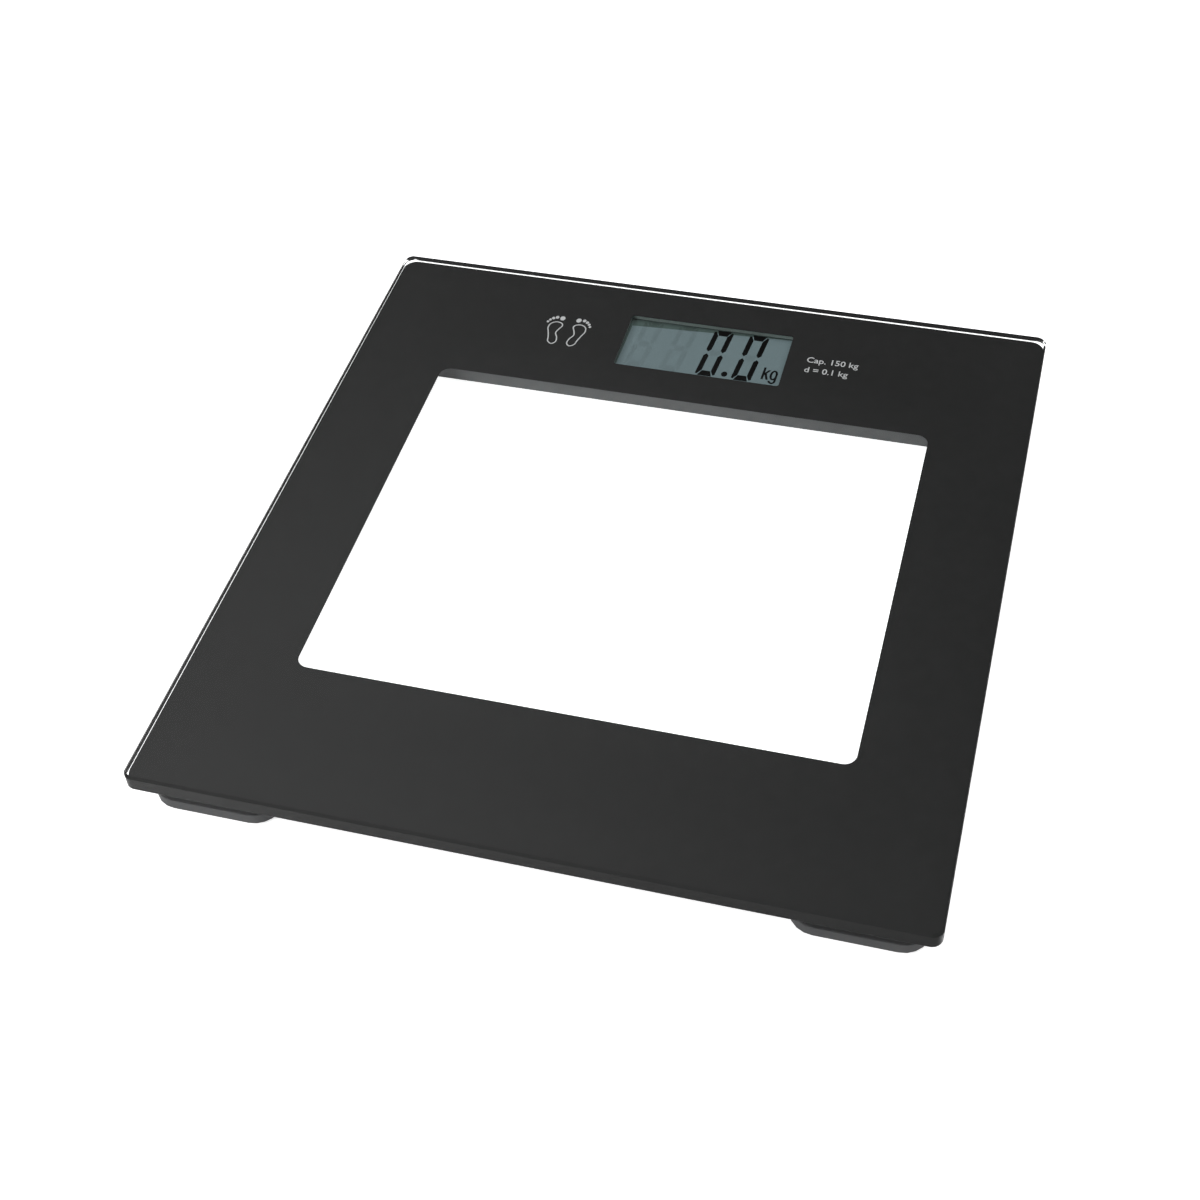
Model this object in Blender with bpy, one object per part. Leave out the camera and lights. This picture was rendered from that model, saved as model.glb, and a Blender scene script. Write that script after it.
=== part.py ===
"""Digital bathroom scale: a back-printed glass platform on load-cell feet.

Metres, +Z up. The origin lies on the floor under the middle of the platform.
+X is the user's right and +Y points away from the user, towards the display.
"""

import math

import bmesh
import bpy

# ------------------------------------------------------------------ driving dimensions
PLATE_WIDTH = 0.300
PLATE_DEPTH = 0.322
PLATE_THICKNESS = 0.007
PLATE_TOP = 0.023
PLATE_CORNER_RADIUS = 0.0042
PLATE_CHAMFER = 0.0009

WINDOW_WIDTH = 0.2174
WINDOW_FRONT = -0.0929
WINDOW_BACK = 0.0889
WINDOW_CORNER_RADIUS = 0.005

DISPLAY_X = 0.0027
DISPLAY_Y = 0.1248
DISPLAY_WIDTH = 0.0745
DISPLAY_DEPTH = 0.0350
DISPLAY_CORNER_RADIUS = 0.0012

PRINT_INSET = 0.0001
PRINT_THICKNESS = 0.00015
PRINT_GAP = 0.0001
PRINT_CORNER_RADIUS = 0.0065
TAPE_THICKNESS = 0.0008
TAPE_GAP = 0.0002
FIT_GAP = 0.0003
SLIVER_GAP = 0.0001
OVERCUT = 0.001

FOOT_X = 0.1205
FOOT_Y = 0.1307
FOOT_SIZE = 0.050
FOOT_CORNER_RADIUS = 0.010
FOOT_WALL = 0.002
FOOT_TRAVEL = 0.0003
FOOT_EDGE = 0.0005
FOOT_TAPE_INSET = 0.0015
FOOT_TAPE_FRAME = 0.006
FOOT_TAPE_RADIUS = 0.004

HOLDER_BOTTOM = 0.0065
HOLDER_CEILING = 0.0012
CELL_SIZE = 0.034
CELL_THICKNESS = 0.0014
CELL_BOTTOM = 0.0086
POST_SIZE = 0.007
POST_INSET = 0.0015
OUTLET_HALF_WIDTH = 0.0025
OUTLET_DROP = 0.0016
CELL_CORNER_RADIUS = 0.002
TONGUE_REACH = 0.011
TONGUE_SLOT = 0.0018
GAUGE_SEAL_SIZE = (0.012, 0.004, 0.001)
GAUGE_SEAL_Y = 0.0128
GAUGE_SEAL_RADIUS = 0.0015
GAUGE_SEAL_EDGE = 0.0003
PAD_SIZE = 0.042
PAD_THICKNESS = 0.0019
PAD_CORNER_RADIUS = 0.0063
PAD_EDGE = 0.0004
PAD_CUP_RADIUS = 0.013
PAD_CUP_DEPTH = 0.0006
CAP_BOTTOM = 0.0007
CAP_TOP = 0.0059
CAP_FLOOR = 0.0014
SKIRT_SIZE = 0.045
SKIRT_TOP = 0.0078
SKIRT_WALL = 0.0015
SKIRT_CORNER_RADIUS = 0.0075
BOSS_RADIUS = 0.006
BOSS_TIP_RADIUS = 0.005
BOSS_CLEARANCE = 0.0002

HOUSING_HALF_WIDTH = 0.0935
HOUSING_FRONT = 0.0937
HOUSING_BACK = 0.155
STRIP_HALF_WIDTH = 0.130
STRIP_BACK = 0.1037
HOUSING_WALL = 0.002
HOUSING_FLOOR = 0.0016
HOUSING_BOTTOM = 0.0054
HOUSING_CORNER_RADIUS = 0.003
HOUSING_INNER_RADIUS = 0.0015
HOUSING_TAPE_INSET = 0.0003
HOUSING_TAPE_FRAME = 0.0015
JOIN_DEPTH = 0.0008

BOARD_LEFT = -0.047
BOARD_RIGHT = 0.076
BOARD_FRONT = 0.0968
BOARD_BACK = 0.1475
BOARD_BOTTOM = 0.0097
BOARD_THICKNESS = 0.001
CHIP_X = 0.016
CHIP_Y = -0.004
CHIP_HEIGHT = 0.0009
CHIP_RADIUS = 0.0048
CHIP_FOOT_RADIUS = 0.006
SWITCH_SIZE = 0.006
SWITCH_HEIGHT = 0.0009
PLUNGER_RADIUS = 0.0015
PLUNGER_LENGTH = 0.0012

BEZEL_WIDTH = 0.096
BEZEL_DEPTH = 0.044
BEZEL_BOTTOM = 0.0109
BEZEL_TOP = 0.0152
BEZEL_CORNER_RADIUS = 0.002
BEZEL_MARGIN = 0.0005
BEZEL_LIP_GAP = 0.0002
LCD_WIDTH = 0.084
LCD_DEPTH = 0.041
LCD_BOTTOM = 0.0117
LCD_TOP = 0.0135
LCD_LEDGE_WIDTH = 0.0001
LCD_LEDGE_HEIGHT = 0.0009
FOIL_THICKNESS = 0.0003
ZEBRA_INSET = 0.003
ZEBRA_FRONT = 0.001
ZEBRA_BACK = 0.003
FOIL_CLEARANCE = 0.0005
SCREW_X = 0.045
SCREW_Y = 0.0175
SCREW_SEAT_DEPTH = 0.0028
SCREW_TIP = 0.0065
SCREW_RADIUS = 0.0009
SCREW_HOLE_RADIUS = 0.0012
SCREW_PILOT_RADIUS = 0.0011
SCREW_POST_RADIUS = 0.0026
HEAD_RADIUS = 0.0019
HEAD_POCKET_RADIUS = 0.0023
HEAD_HEIGHT = 0.0012
HEAD_OVERLAP = 0.0005

BATTERY_X = -0.070
BATTERY_Y = 0.1245
BATTERY_RADIUS = 0.010
BATTERY_THICKNESS = 0.0032
BATTERY_STEP = 0.0012
BATTERY_STEP_HEIGHT = 0.0006
BATTERY_STEP_OVERLAP = 0.0004
BAY_HALF_WIDTH = 0.0135
BAY_BACK = 0.0145
BAY_FRONT = -0.017
BAY_CEILING = 0.0119
BAY_WALL = 0.0017
BAY_LID = 0.0012
BAY_SLOT_LOW = 0.0104
BAY_SLOT_HIGH = 0.0115
BAY_SLOT_HALF_WIDTH = 0.0035
BAY_PORT_LOW = 0.0096
BAY_PORT_HIGH = 0.0108
BAY_PORT_HALF_DEPTH = 0.0028
BAY_CUT_INSIDE = 0.002
BAY_CUT_OUTSIDE = 0.004
CONTACT_THICKNESS = 0.0004
CONTACT_HALF_WIDTH = 0.0025
CONTACT_FRONT = -0.009
CONTACT_REACH = 0.0032
CONTACT_HALF_DEPTH = 0.004
TAB_HALF_DEPTH = 0.002
TAB_DROP = 0.0005
DOOR_HINGE_Y = -0.0152
DOOR_THICKNESS = 0.0016
DOOR_LEDGE = 0.0015
KNUCKLE_RADIUS = 0.0015
KNUCKLE_CLEARANCE = 0.0005
PIN_RADIUS = 0.0008
PIN_REACH = 0.0007
PIN_CLEARANCE = 0.00025
SCOOP_RADIUS = 0.0030
SCOOP_LENGTH = 0.010
SCOOP_INSET = 0.0008
SCOOP_DROP = 0.0022
NOTCH_HALF_WIDTH = 0.006
NOTCH_REACH = 0.0025
NOTCH_DEPTH = 0.0008
GROOVE_START = 0.0065
GROOVE_PITCH = 0.0022
GROOVE_WIDTH = 0.0009
GROOVE_DEPTH = 0.0004

BUTTON_X = 0.064
BUTTON_Y = 0.1245
BUTTON_RADIUS = 0.004
BUTTON_FLANGE_RADIUS = 0.0055
BUTTON_FLANGE = 0.0006
BUTTON_RECESS = 0.0003
BUTTON_CLEARANCE = 0.0004
DIMPLE_MARGIN = 0.003
DIMPLE_DEPTH = 0.0004

DUCT_WIDTH = 0.009
DUCT_WALL = 0.0012
DUCT_BOTTOM = 0.0092
WIRE_RADIUS = 0.001
LEAD_RADIUS = 0.0005
DUCT_SINK = 0.0004
PORT_HALF = 0.0015
BUNDLE_BEND = 0.0026
LEAD_BEND = 0.0015
LEAD_GAP = 0.0003
PAD_INSET = 0.0006
NEGATIVE_RISE = 0.006
BUNDLE_INSET = 0.003
FRONT_LANE = 0.0037
REAR_LANE = 0.0063
CELL_OVERHANG = 0.0008

# ------------------------------------------------------------------ derived heights
PLATE_BOTTOM = PLATE_TOP - PLATE_THICKNESS
PRINT_BOTTOM = PLATE_BOTTOM - PRINT_GAP - PRINT_THICKNESS
TAPE_TOP = PRINT_BOTTOM - TAPE_GAP
TAPE_BOTTOM = TAPE_TOP - TAPE_THICKNESS
GLUED_TOP = TAPE_BOTTOM - TAPE_GAP
FLOOR_TOP = HOUSING_BOTTOM + HOUSING_FLOOR
BOARD_TOP = BOARD_BOTTOM + BOARD_THICKNESS
WIRE_Z = BOARD_TOP + FIT_GAP + WIRE_RADIUS
DUCT_X = FOOT_X

BLACK_PLASTIC = ("black_plastic", (0.100, 0.100, 0.102), 0.42, 0.0)
GREY_RUBBER = ("grey_rubber", (0.110, 0.110, 0.115), 0.80, 0.0)
MATERIALS = {
    "glass": ("clear_glass", (0.80, 0.88, 0.86), 0.03, 0.0),
    "ink": ("black_ink", (0.018, 0.018, 0.019), 0.35, 0.0),
    "plastic": BLACK_PLASTIC,
    "cap": ("grey_plastic", (0.140, 0.140, 0.143), 0.45, 0.0),
    "rubber": GREY_RUBBER,
    "steel": ("spring_steel", (0.55, 0.55, 0.56), 0.30, 1.0),
    "silicone": ("white_silicone", (0.80, 0.80, 0.78), 0.50, 0.0),
    "tape": ("foam_tape", (0.032, 0.032, 0.033), 0.90, 0.0),
    "lcd": ("lcd_cell", (0.24, 0.30, 0.28), 0.12, 0.0),
    "foil": ("reflector_foil", (0.45, 0.48, 0.46), 0.35, 0.6),
    "zebra": ("striped_elastomer", (0.75, 0.45, 0.50), 0.70, 0.0),
    "board": ("circuit_laminate", (0.03, 0.16, 0.07), 0.40, 0.0),
    "epoxy": ("black_epoxy", (0.015, 0.015, 0.015), 0.30, 0.0),
    "cell": ("battery_steel", (0.72, 0.72, 0.70), 0.22, 1.0),
    "contact": ("nickel_strip", (0.66, 0.64, 0.58), 0.28, 1.0),
    "wire": ("wire_jacket", (0.25, 0.03, 0.03), 0.55, 0.0),
    "lead": ("lead_jacket", (0.40, 0.02, 0.02), 0.50, 0.0),
}


# ------------------------------------------------------------------ scene set-up
for old_object in list(bpy.data.objects):
    bpy.data.objects.remove(old_object)

parts = bpy.data.collections.new("bathroom_scale")
cutters = bpy.data.collections.new("cutters")
for collection in (parts, cutters):
    bpy.context.scene.collection.children.link(collection)


def make_material(key):
    """The Principled material of one kind, made once and then shared."""
    name, colour, roughness, metallic = MATERIALS[key]
    material = bpy.data.materials.get(name)
    if material is None:
        material = bpy.data.materials.new(name)
        material.use_nodes = True
        shader = material.node_tree.nodes["Principled BSDF"]
        shader.inputs["Base Color"].default_value = (*colour, 1.0)
        shader.inputs["Roughness"].default_value = roughness
        shader.inputs["Metallic"].default_value = metallic
    return material


# ------------------------------------------------------------------ shapes
def mesh_from(bm, name):
    """A mesh holding what the bmesh holds; the bmesh is freed."""
    bmesh.ops.recalc_face_normals(bm, faces=bm.faces)
    mesh = bpy.data.meshes.new(name)
    bm.to_mesh(mesh)
    bm.free()
    return mesh


def block(size, centre, radius=0.0, segments=4, rims=(), rim=0.0):
    """A box with round upright edges; rims names the ends ("top", "bottom") with a chamfer."""
    bm = bmesh.new()
    bmesh.ops.create_cube(bm, size=1.0)
    bmesh.ops.scale(bm, vec=size, verts=bm.verts)
    half = size[2] / 2
    if radius:
        upright = [e for e in bm.edges if e.verts[0].co.z * e.verts[1].co.z < 0]
        bmesh.ops.bevel(
            bm, geom=upright, offset=radius, offset_type="OFFSET",
            segments=segments, profile=0.5, affect="EDGES",
        )
    for end, sign in (("top", 1), ("bottom", -1)):
        if end in rims:
            level = sign * half
            ring = [e for e in bm.edges if all(abs(v.co.z - level) < 1e-7 for v in e.verts)]
            bmesh.ops.bevel(
                bm, geom=ring, offset=rim, offset_type="OFFSET",
                segments=1, profile=0.5, affect="EDGES",
            )
    bmesh.ops.translate(bm, vec=centre, verts=bm.verts)
    return mesh_from(bm, "block")


def box_between(low, high, radius=0.0, segments=4, rims=(), rim=0.0):
    """A block given by its lowest and highest corners."""
    size = [b - a for a, b in zip(low, high)]
    centre = [(a + b) / 2 for a, b in zip(low, high)]
    return block(size, centre, radius, segments, rims, rim)


def square(size, bottom, top, radius=0.0, segments=4, rims=(), rim=0.0):
    """A square block centred on the Z axis, from one height to another."""
    return block((size, size, top - bottom), (0, 0, (bottom + top) / 2), radius, segments, rims, rim)


def disc(radius, bottom, top, centre=(0.0, 0.0), sides=24, end_radius=None):
    """An upright round solid, with its own radius at the top where end_radius is given."""
    bm = bmesh.new()
    bmesh.ops.create_cone(
        bm, cap_ends=True, segments=sides, depth=top - bottom,
        radius1=radius, radius2=radius if end_radius is None else end_radius,
    )
    bmesh.ops.translate(bm, vec=(centre[0], centre[1], (bottom + top) / 2), verts=bm.verts)
    return mesh_from(bm, "disc")


def rod_x(radius, length, centre, sides=16):
    """A round solid that lies along X."""
    bm = bmesh.new()
    bmesh.ops.create_cone(
        bm, cap_ends=True, segments=sides, depth=length, radius1=radius, radius2=radius,
    )
    for vert in bm.verts:
        x, y, z = vert.co
        vert.co = (centre[0] + z, centre[1] + y, centre[2] - x)
    return mesh_from(bm, "rod")


def rounded_corners(corners, radius, steps=3):
    """The closed outline through the corners, each turned by an arc of the radius."""
    outline = []
    count = len(corners)
    for i, (x, y) in enumerate(corners):
        before, after = corners[i - 1], corners[(i + 1) % count]
        into = (before[0] - x, before[1] - y)
        out = (after[0] - x, after[1] - y)
        into = [c / math.hypot(*into) for c in into]
        out = [c / math.hypot(*out) for c in out]
        for step in range(steps + 1):
            angle = step / steps * math.pi / 2
            a, b = 1 - math.sin(angle), 1 - math.cos(angle)
            outline.append(
                (x + (into[0] * a + out[0] * b) * radius, y + (into[1] * a + out[1] * b) * radius)
            )
    return outline


def outline_solid(outline, bottom, top):
    """A flat outline filled and raised between two heights, from a 2D curve."""
    curve = bpy.data.curves.new("outline", "CURVE")
    curve.dimensions = "2D"
    curve.fill_mode = "BOTH"
    curve.extrude = (top - bottom) / 2
    spline = curve.splines.new("POLY")
    spline.points.add(len(outline) - 1)
    for point, (x, y) in zip(spline.points, outline):
        point.co = (x, y, 0, 1)
    spline.use_cyclic_u = True
    return mesh_of_curve(curve, (bottom + top) / 2)


def mesh_of_curve(curve, height=0.0):
    """The closed mesh of a curve, raised by a height, with its caps welded."""
    source = bpy.data.objects.new("curve", curve)
    bpy.context.scene.collection.objects.link(source)
    bpy.context.view_layer.update()
    evaluated = source.evaluated_get(bpy.context.evaluated_depsgraph_get())
    mesh = bpy.data.meshes.new_from_object(evaluated)
    bpy.data.objects.remove(source)
    bm = bmesh.new()
    bm.from_mesh(mesh)
    bmesh.ops.remove_doubles(bm, verts=bm.verts, dist=1e-6)
    bmesh.ops.translate(bm, vec=(0, 0, height), verts=bm.verts)
    return mesh_from(bm, "from_curve")


def route(points, radius, steps=4):
    """A wire's path through the points, with each corner turned by an arc."""
    path = [points[0]]
    for before, here, after in zip(points, points[1:], points[2:]):
        into = [a - b for a, b in zip(before, here)]
        out = [a - b for a, b in zip(after, here)]
        into = [c / math.hypot(*into) for c in into]
        out = [c / math.hypot(*out) for c in out]
        for step in range(steps + 1):
            angle = step / steps * math.pi / 2
            a, b = 1 - math.sin(angle), 1 - math.cos(angle)
            path.append([h + (i * a + o * b) * radius for h, i, o in zip(here, into, out)])
    path.append(points[-1])
    return path


def tube(path, radius):
    """A closed round tube along a path."""
    curve = bpy.data.curves.new("tube", "CURVE")
    curve.dimensions = "3D"
    curve.bevel_depth = radius
    curve.bevel_resolution = 2
    curve.use_fill_caps = True
    spline = curve.splines.new("POLY")
    spline.points.add(len(path) - 1)
    for point, place in zip(spline.points, path):
        point.co = (*place, 1)
    return mesh_of_curve(curve)


# ------------------------------------------------------------------ objects
def add_object(name, mesh, collection, parent=None):
    """An object of the mesh; with a parent, the mesh is in the parent's own coordinates."""
    thing = bpy.data.objects.new(name, mesh)
    mesh.name = name
    collection.objects.link(thing)
    thing.parent = parent
    return thing


def add_part(name, mesh, material, parent=None):
    """A named sub-part with its material; round stretches are shaded smooth."""
    part = add_object(name, mesh, parts, parent)
    mesh.materials.clear()
    mesh.materials.append(make_material(material))
    mesh.shade_smooth()
    mesh.set_sharp_from_angle(angle=math.radians(30))
    return part


def shape(part, operation, *tools):
    """Joins tools to a part ("UNION") or cuts them out ("DIFFERENCE"), as live modifiers."""
    for tool in tools:
        cutter = add_object(f"{part.name}_tool", tool, cutters, part.parent)
        cutter.hide_render = True
        cutter.display_type = "WIRE"
        modifier = part.modifiers.new(operation.lower(), "BOOLEAN")
        modifier.operation = operation
        modifier.solver = "EXACT"
        modifier.object = cutter


def foot_anchor(name, x, y, turn):
    """The empty on a foot's travel axis; its own +Y looks to the middle of the platform."""
    anchor = bpy.data.objects.new(name, None)
    parts.objects.link(anchor)
    anchor.location = (x, y, 0)
    anchor.rotation_euler = (0, 0, turn)
    return anchor


# ------------------------------------------------------------------ platform
def make_platform():
    """The glass plate and the ink layer on its underside, left open at window and display."""
    add_part(
        "glass_platform",
        block(
            (PLATE_WIDTH, PLATE_DEPTH, PLATE_THICKNESS),
            (0, 0, PLATE_TOP - PLATE_THICKNESS / 2),
            PLATE_CORNER_RADIUS, 6, ("top", "bottom"), PLATE_CHAMFER,
        ),
        "glass",
    )
    inset = PLATE_CHAMFER + PRINT_INSET
    ink = add_part(
        "border_print",
        block(
            (PLATE_WIDTH - 2 * inset, PLATE_DEPTH - 2 * inset, PRINT_THICKNESS),
            (0, 0, PRINT_BOTTOM + PRINT_THICKNESS / 2),
            PRINT_CORNER_RADIUS, 6,
        ),
        "ink",
    )
    half = WINDOW_WIDTH / 2
    window = box_between(
        (-half, WINDOW_FRONT, PRINT_BOTTOM - OVERCUT), (half, WINDOW_BACK, PLATE_TOP),
        WINDOW_CORNER_RADIUS,
    )
    display = block(
        (DISPLAY_WIDTH, DISPLAY_DEPTH, 2 * OVERCUT), (DISPLAY_X, DISPLAY_Y, PRINT_BOTTOM),
        DISPLAY_CORNER_RADIUS, 2,
    )
    shape(ink, "DIFFERENCE", window, display)


# ------------------------------------------------------------------ feet
def make_foot(side, anchor):
    """One load-cell foot: tape, holder, cell and gauge stay put, cap and pad travel."""
    tape = add_part(
        f"foot_tape_{side}",
        square(
            FOOT_SIZE - 2 * FOOT_TAPE_INSET, TAPE_BOTTOM, TAPE_TOP,
            FOOT_CORNER_RADIUS - FOOT_TAPE_INSET,
        ),
        "tape", anchor,
    )
    hole = FOOT_SIZE - 2 * (FOOT_TAPE_INSET + FOOT_TAPE_FRAME)
    shape(
        tape, "DIFFERENCE",
        square(hole, TAPE_BOTTOM - OVERCUT, TAPE_TOP + OVERCUT, FOOT_TAPE_RADIUS),
    )
    make_holder(side, anchor)
    make_load_cell(side, anchor)
    make_cap(side, anchor)
    pad = add_part(
        f"foot_pad_{side}",
        square(PAD_SIZE, 0, PAD_THICKNESS, PAD_CORNER_RADIUS, 4, ("bottom",), PAD_EDGE),
        "rubber", anchor,
    )
    shape(pad, "DIFFERENCE", disc(PAD_CUP_RADIUS, -OVERCUT, PAD_CUP_DEPTH))


def make_holder(side, anchor):
    """The inverted cup glued under the glass, with four posts that locate the cell."""
    inner = FOOT_SIZE - 2 * FOOT_WALL
    inner_radius = FOOT_CORNER_RADIUS - FOOT_WALL
    ceiling = GLUED_TOP - HOLDER_CEILING
    holder = add_part(
        f"foot_holder_{side}",
        square(FOOT_SIZE, HOLDER_BOTTOM, GLUED_TOP, FOOT_CORNER_RADIUS, 5, ("top",), FOOT_EDGE),
        "plastic", anchor,
    )
    shape(holder, "DIFFERENCE", square(inner, HOLDER_BOTTOM - OVERCUT, ceiling, inner_radius))
    cell_top = CELL_BOTTOM + CELL_THICKNESS
    offset = CELL_SIZE / 2 - POST_INSET
    for x in (-offset, offset):
        for y in (-offset, offset):
            low = (x - POST_SIZE / 2, y - POST_SIZE / 2, CELL_BOTTOM)
            high = (x + POST_SIZE / 2, y + POST_SIZE / 2, ceiling + HOLDER_CEILING / 2)
            shape(holder, "UNION", box_between(low, high))
    pocket = square(CELL_SIZE + 2 * FIT_GAP, CELL_BOTTOM - OVERCUT, cell_top + FIT_GAP)
    outlet = box_between(
        (-OUTLET_HALF_WIDTH, inner / 2 - OVERCUT, WIRE_Z - OUTLET_DROP),
        (OUTLET_HALF_WIDTH, FOOT_SIZE, ceiling - SLIVER_GAP),
    )
    shape(holder, "DIFFERENCE", pocket, outlet)


def make_load_cell(side, anchor):
    """The sprung steel plate, slotted so that a tongue can bend, and its sealed gauge."""
    cell_top = CELL_BOTTOM + CELL_THICKNESS
    cell = add_part(
        f"load_cell_{side}",
        square(CELL_SIZE, CELL_BOTTOM, cell_top, CELL_CORNER_RADIUS, 2),
        "steel", anchor,
    )
    reach, slot = TONGUE_REACH, TONGUE_SLOT
    low, high = CELL_BOTTOM - OVERCUT, cell_top + OVERCUT
    front = box_between((-reach, -reach, low), (reach, -reach + slot, high))
    shape(cell, "DIFFERENCE", front)
    for x in (-reach, reach - slot):
        beam_slot = box_between((x, -reach + slot / 2, low), (x + slot, reach - slot / 2, high))
        shape(cell, "DIFFERENCE", beam_slot)
    seal_bottom = cell_top + SLIVER_GAP
    add_part(
        f"gauge_seal_{side}",
        block(
            GAUGE_SEAL_SIZE, (0, GAUGE_SEAL_Y, seal_bottom + GAUGE_SEAL_SIZE[2] / 2),
            GAUGE_SEAL_RADIUS, 2, ("top",), GAUGE_SEAL_EDGE,
        ),
        "silicone", anchor,
    )


def make_cap(side, anchor):
    """The moving foot cap: a shallow dish, a guide skirt and the boss that loads the cell."""
    floor_bottom = PAD_THICKNESS + FIT_GAP
    floor_top = floor_bottom + CAP_FLOOR
    cap = add_part(
        f"foot_cap_{side}",
        square(FOOT_SIZE, CAP_BOTTOM, CAP_TOP, FOOT_CORNER_RADIUS, 5, ("bottom",), FOOT_EDGE),
        "cap", anchor,
    )
    skirt = square(SKIRT_SIZE, floor_top, SKIRT_TOP, SKIRT_CORNER_RADIUS)
    shape(cap, "UNION", skirt)
    hollow = square(
        SKIRT_SIZE - 2 * SKIRT_WALL, floor_top, SKIRT_TOP + OVERCUT,
        SKIRT_CORNER_RADIUS - SKIRT_WALL,
    )
    recess = square(
        PAD_SIZE + 2 * FIT_GAP, CAP_BOTTOM - OVERCUT, floor_bottom, PAD_CORNER_RADIUS + FIT_GAP
    )
    shape(cap, "DIFFERENCE", hollow, recess)
    boss_top = CELL_BOTTOM - FOOT_TRAVEL - BOSS_CLEARANCE
    boss = disc(BOSS_RADIUS, floor_top - CAP_FLOOR / 2, boss_top, end_radius=BOSS_TIP_RADIUS)
    shape(cap, "UNION", boss)


# ------------------------------------------------------------------ rear housing
def tee_outline(inset, radius):
    """The housing's outline from above: a wide strip in front and a narrower body behind."""
    strip, body = STRIP_HALF_WIDTH - inset, HOUSING_HALF_WIDTH - inset
    front, step, back = HOUSING_FRONT + inset, STRIP_BACK - inset, HOUSING_BACK - inset
    corners = [
        (-strip, front), (strip, front), (strip, step), (body, step),
        (body, back), (-body, back), (-body, step), (-strip, step),
    ]
    return rounded_corners(corners, radius)


def bay_box(x, front, back, bottom, top):
    """A box in the battery bay, given from the bay's own centre."""
    return box_between(
        (BATTERY_X - x, BATTERY_Y + front, bottom), (BATTERY_X + x, BATTERY_Y + back, top)
    )


def display_screw_places():
    """The four screw axes at the corners of the display bezel."""
    return [
        (DISPLAY_X + sx * SCREW_X, DISPLAY_Y + sy * SCREW_Y) for sy in (-1, 1) for sx in (-1, 1)
    ]


def make_housing():
    """The tray glued under the back border: walls, battery bay, bosses and openings."""
    tray = add_part(
        "rear_housing",
        outline_solid(tee_outline(0, HOUSING_CORNER_RADIUS), HOUSING_BOTTOM, GLUED_TOP),
        "plastic",
    )
    hollow = outline_solid(
        tee_outline(HOUSING_WALL, HOUSING_INNER_RADIUS), FLOOR_TOP, GLUED_TOP + OVERCUT
    )
    shape(tray, "DIFFERENCE", hollow)
    root = FLOOR_TOP - JOIN_DEPTH
    bay_shell = bay_box(
        BAY_HALF_WIDTH + BAY_WALL, BAY_FRONT - BAY_WALL, BAY_BACK + BAY_WALL,
        root, BAY_CEILING + BAY_LID,
    )
    shape(tray, "UNION", bay_shell)
    for place in display_screw_places():
        post = disc(SCREW_POST_RADIUS, root, BOARD_BOTTOM - FIT_GAP, place)
        shape(tray, "UNION", post)
        pilot = disc(SCREW_PILOT_RADIUS, HOUSING_BOTTOM + JOIN_DEPTH, BOARD_TOP, place, 12)
        shape(tray, "DIFFERENCE", pilot)
    ledge = DOOR_LEDGE
    door_level = HOUSING_BOTTOM + DOOR_THICKNESS + FIT_GAP
    below = HOUSING_BOTTOM - OVERCUT
    knuckle_top = FLOOR_TOP + KNUCKLE_RADIUS + KNUCKLE_CLEARANCE
    knuckle_back = DOOR_HINGE_Y + KNUCKLE_RADIUS + KNUCKLE_CLEARANCE
    shape(
        tray, "DIFFERENCE",
        bay_box(BAY_HALF_WIDTH, BAY_FRONT, BAY_BACK, below, door_level),
        bay_box(
            BAY_HALF_WIDTH - ledge, knuckle_back - TAPE_GAP, BAY_BACK - ledge, below, BAY_CEILING
        ),
        bay_box(
            BAY_HALF_WIDTH - SLIVER_GAP, BAY_FRONT + SLIVER_GAP, knuckle_back, below, knuckle_top
        ),
        rod_x(
            PIN_RADIUS + PIN_CLEARANCE, 2 * (BAY_HALF_WIDTH + PIN_REACH + FIT_GAP),
            (BATTERY_X, BATTERY_Y + DOOR_HINGE_Y, FLOOR_TOP),
        ),
        bay_box(
            BAY_SLOT_HALF_WIDTH, BAY_BACK - BAY_CUT_INSIDE, BAY_BACK + BAY_CUT_OUTSIDE,
            BAY_SLOT_LOW, BAY_SLOT_HIGH,
        ),
        box_between(
            (
                BATTERY_X + BAY_HALF_WIDTH - BAY_CUT_INSIDE, BATTERY_Y - BAY_PORT_HALF_DEPTH,
                BAY_PORT_LOW,
            ),
            (
                BATTERY_X + BAY_HALF_WIDTH + BAY_CUT_OUTSIDE, BATTERY_Y + BAY_PORT_HALF_DEPTH,
                BAY_PORT_HIGH,
            ),
        ),
        disc(BUTTON_RADIUS + BUTTON_CLEARANCE, below, FLOOR_TOP + OVERCUT, (BUTTON_X, BUTTON_Y)),
        disc(
            BUTTON_RADIUS + DIMPLE_MARGIN, below, HOUSING_BOTTOM + DIMPLE_DEPTH,
            (BUTTON_X, BUTTON_Y),
        ),
        bay_box(
            NOTCH_HALF_WIDTH, BAY_BACK - DOOR_LEDGE / 3, BAY_BACK + NOTCH_REACH,
            below, HOUSING_BOTTOM + NOTCH_DEPTH,
        ),
    )
    for x in (-DUCT_X, DUCT_X):
        port = box_between(
            (x - PORT_HALF, HOUSING_FRONT - OVERCUT, WIRE_Z - PORT_HALF),
            (x + PORT_HALF, STRIP_BACK + OVERCUT, WIRE_Z + PORT_HALF),
        )
        shape(tray, "DIFFERENCE", port)
    tape = add_part(
        "housing_tape",
        outline_solid(
            tee_outline(HOUSING_TAPE_INSET, HOUSING_CORNER_RADIUS - HOUSING_TAPE_INSET),
            TAPE_BOTTOM, TAPE_TOP,
        ),
        "tape",
    )
    hole = outline_solid(
        tee_outline(HOUSING_TAPE_INSET + HOUSING_TAPE_FRAME, HOUSING_INNER_RADIUS),
        TAPE_BOTTOM - OVERCUT, TAPE_TOP + OVERCUT,
    )
    shape(tape, "DIFFERENCE", hole)


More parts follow.
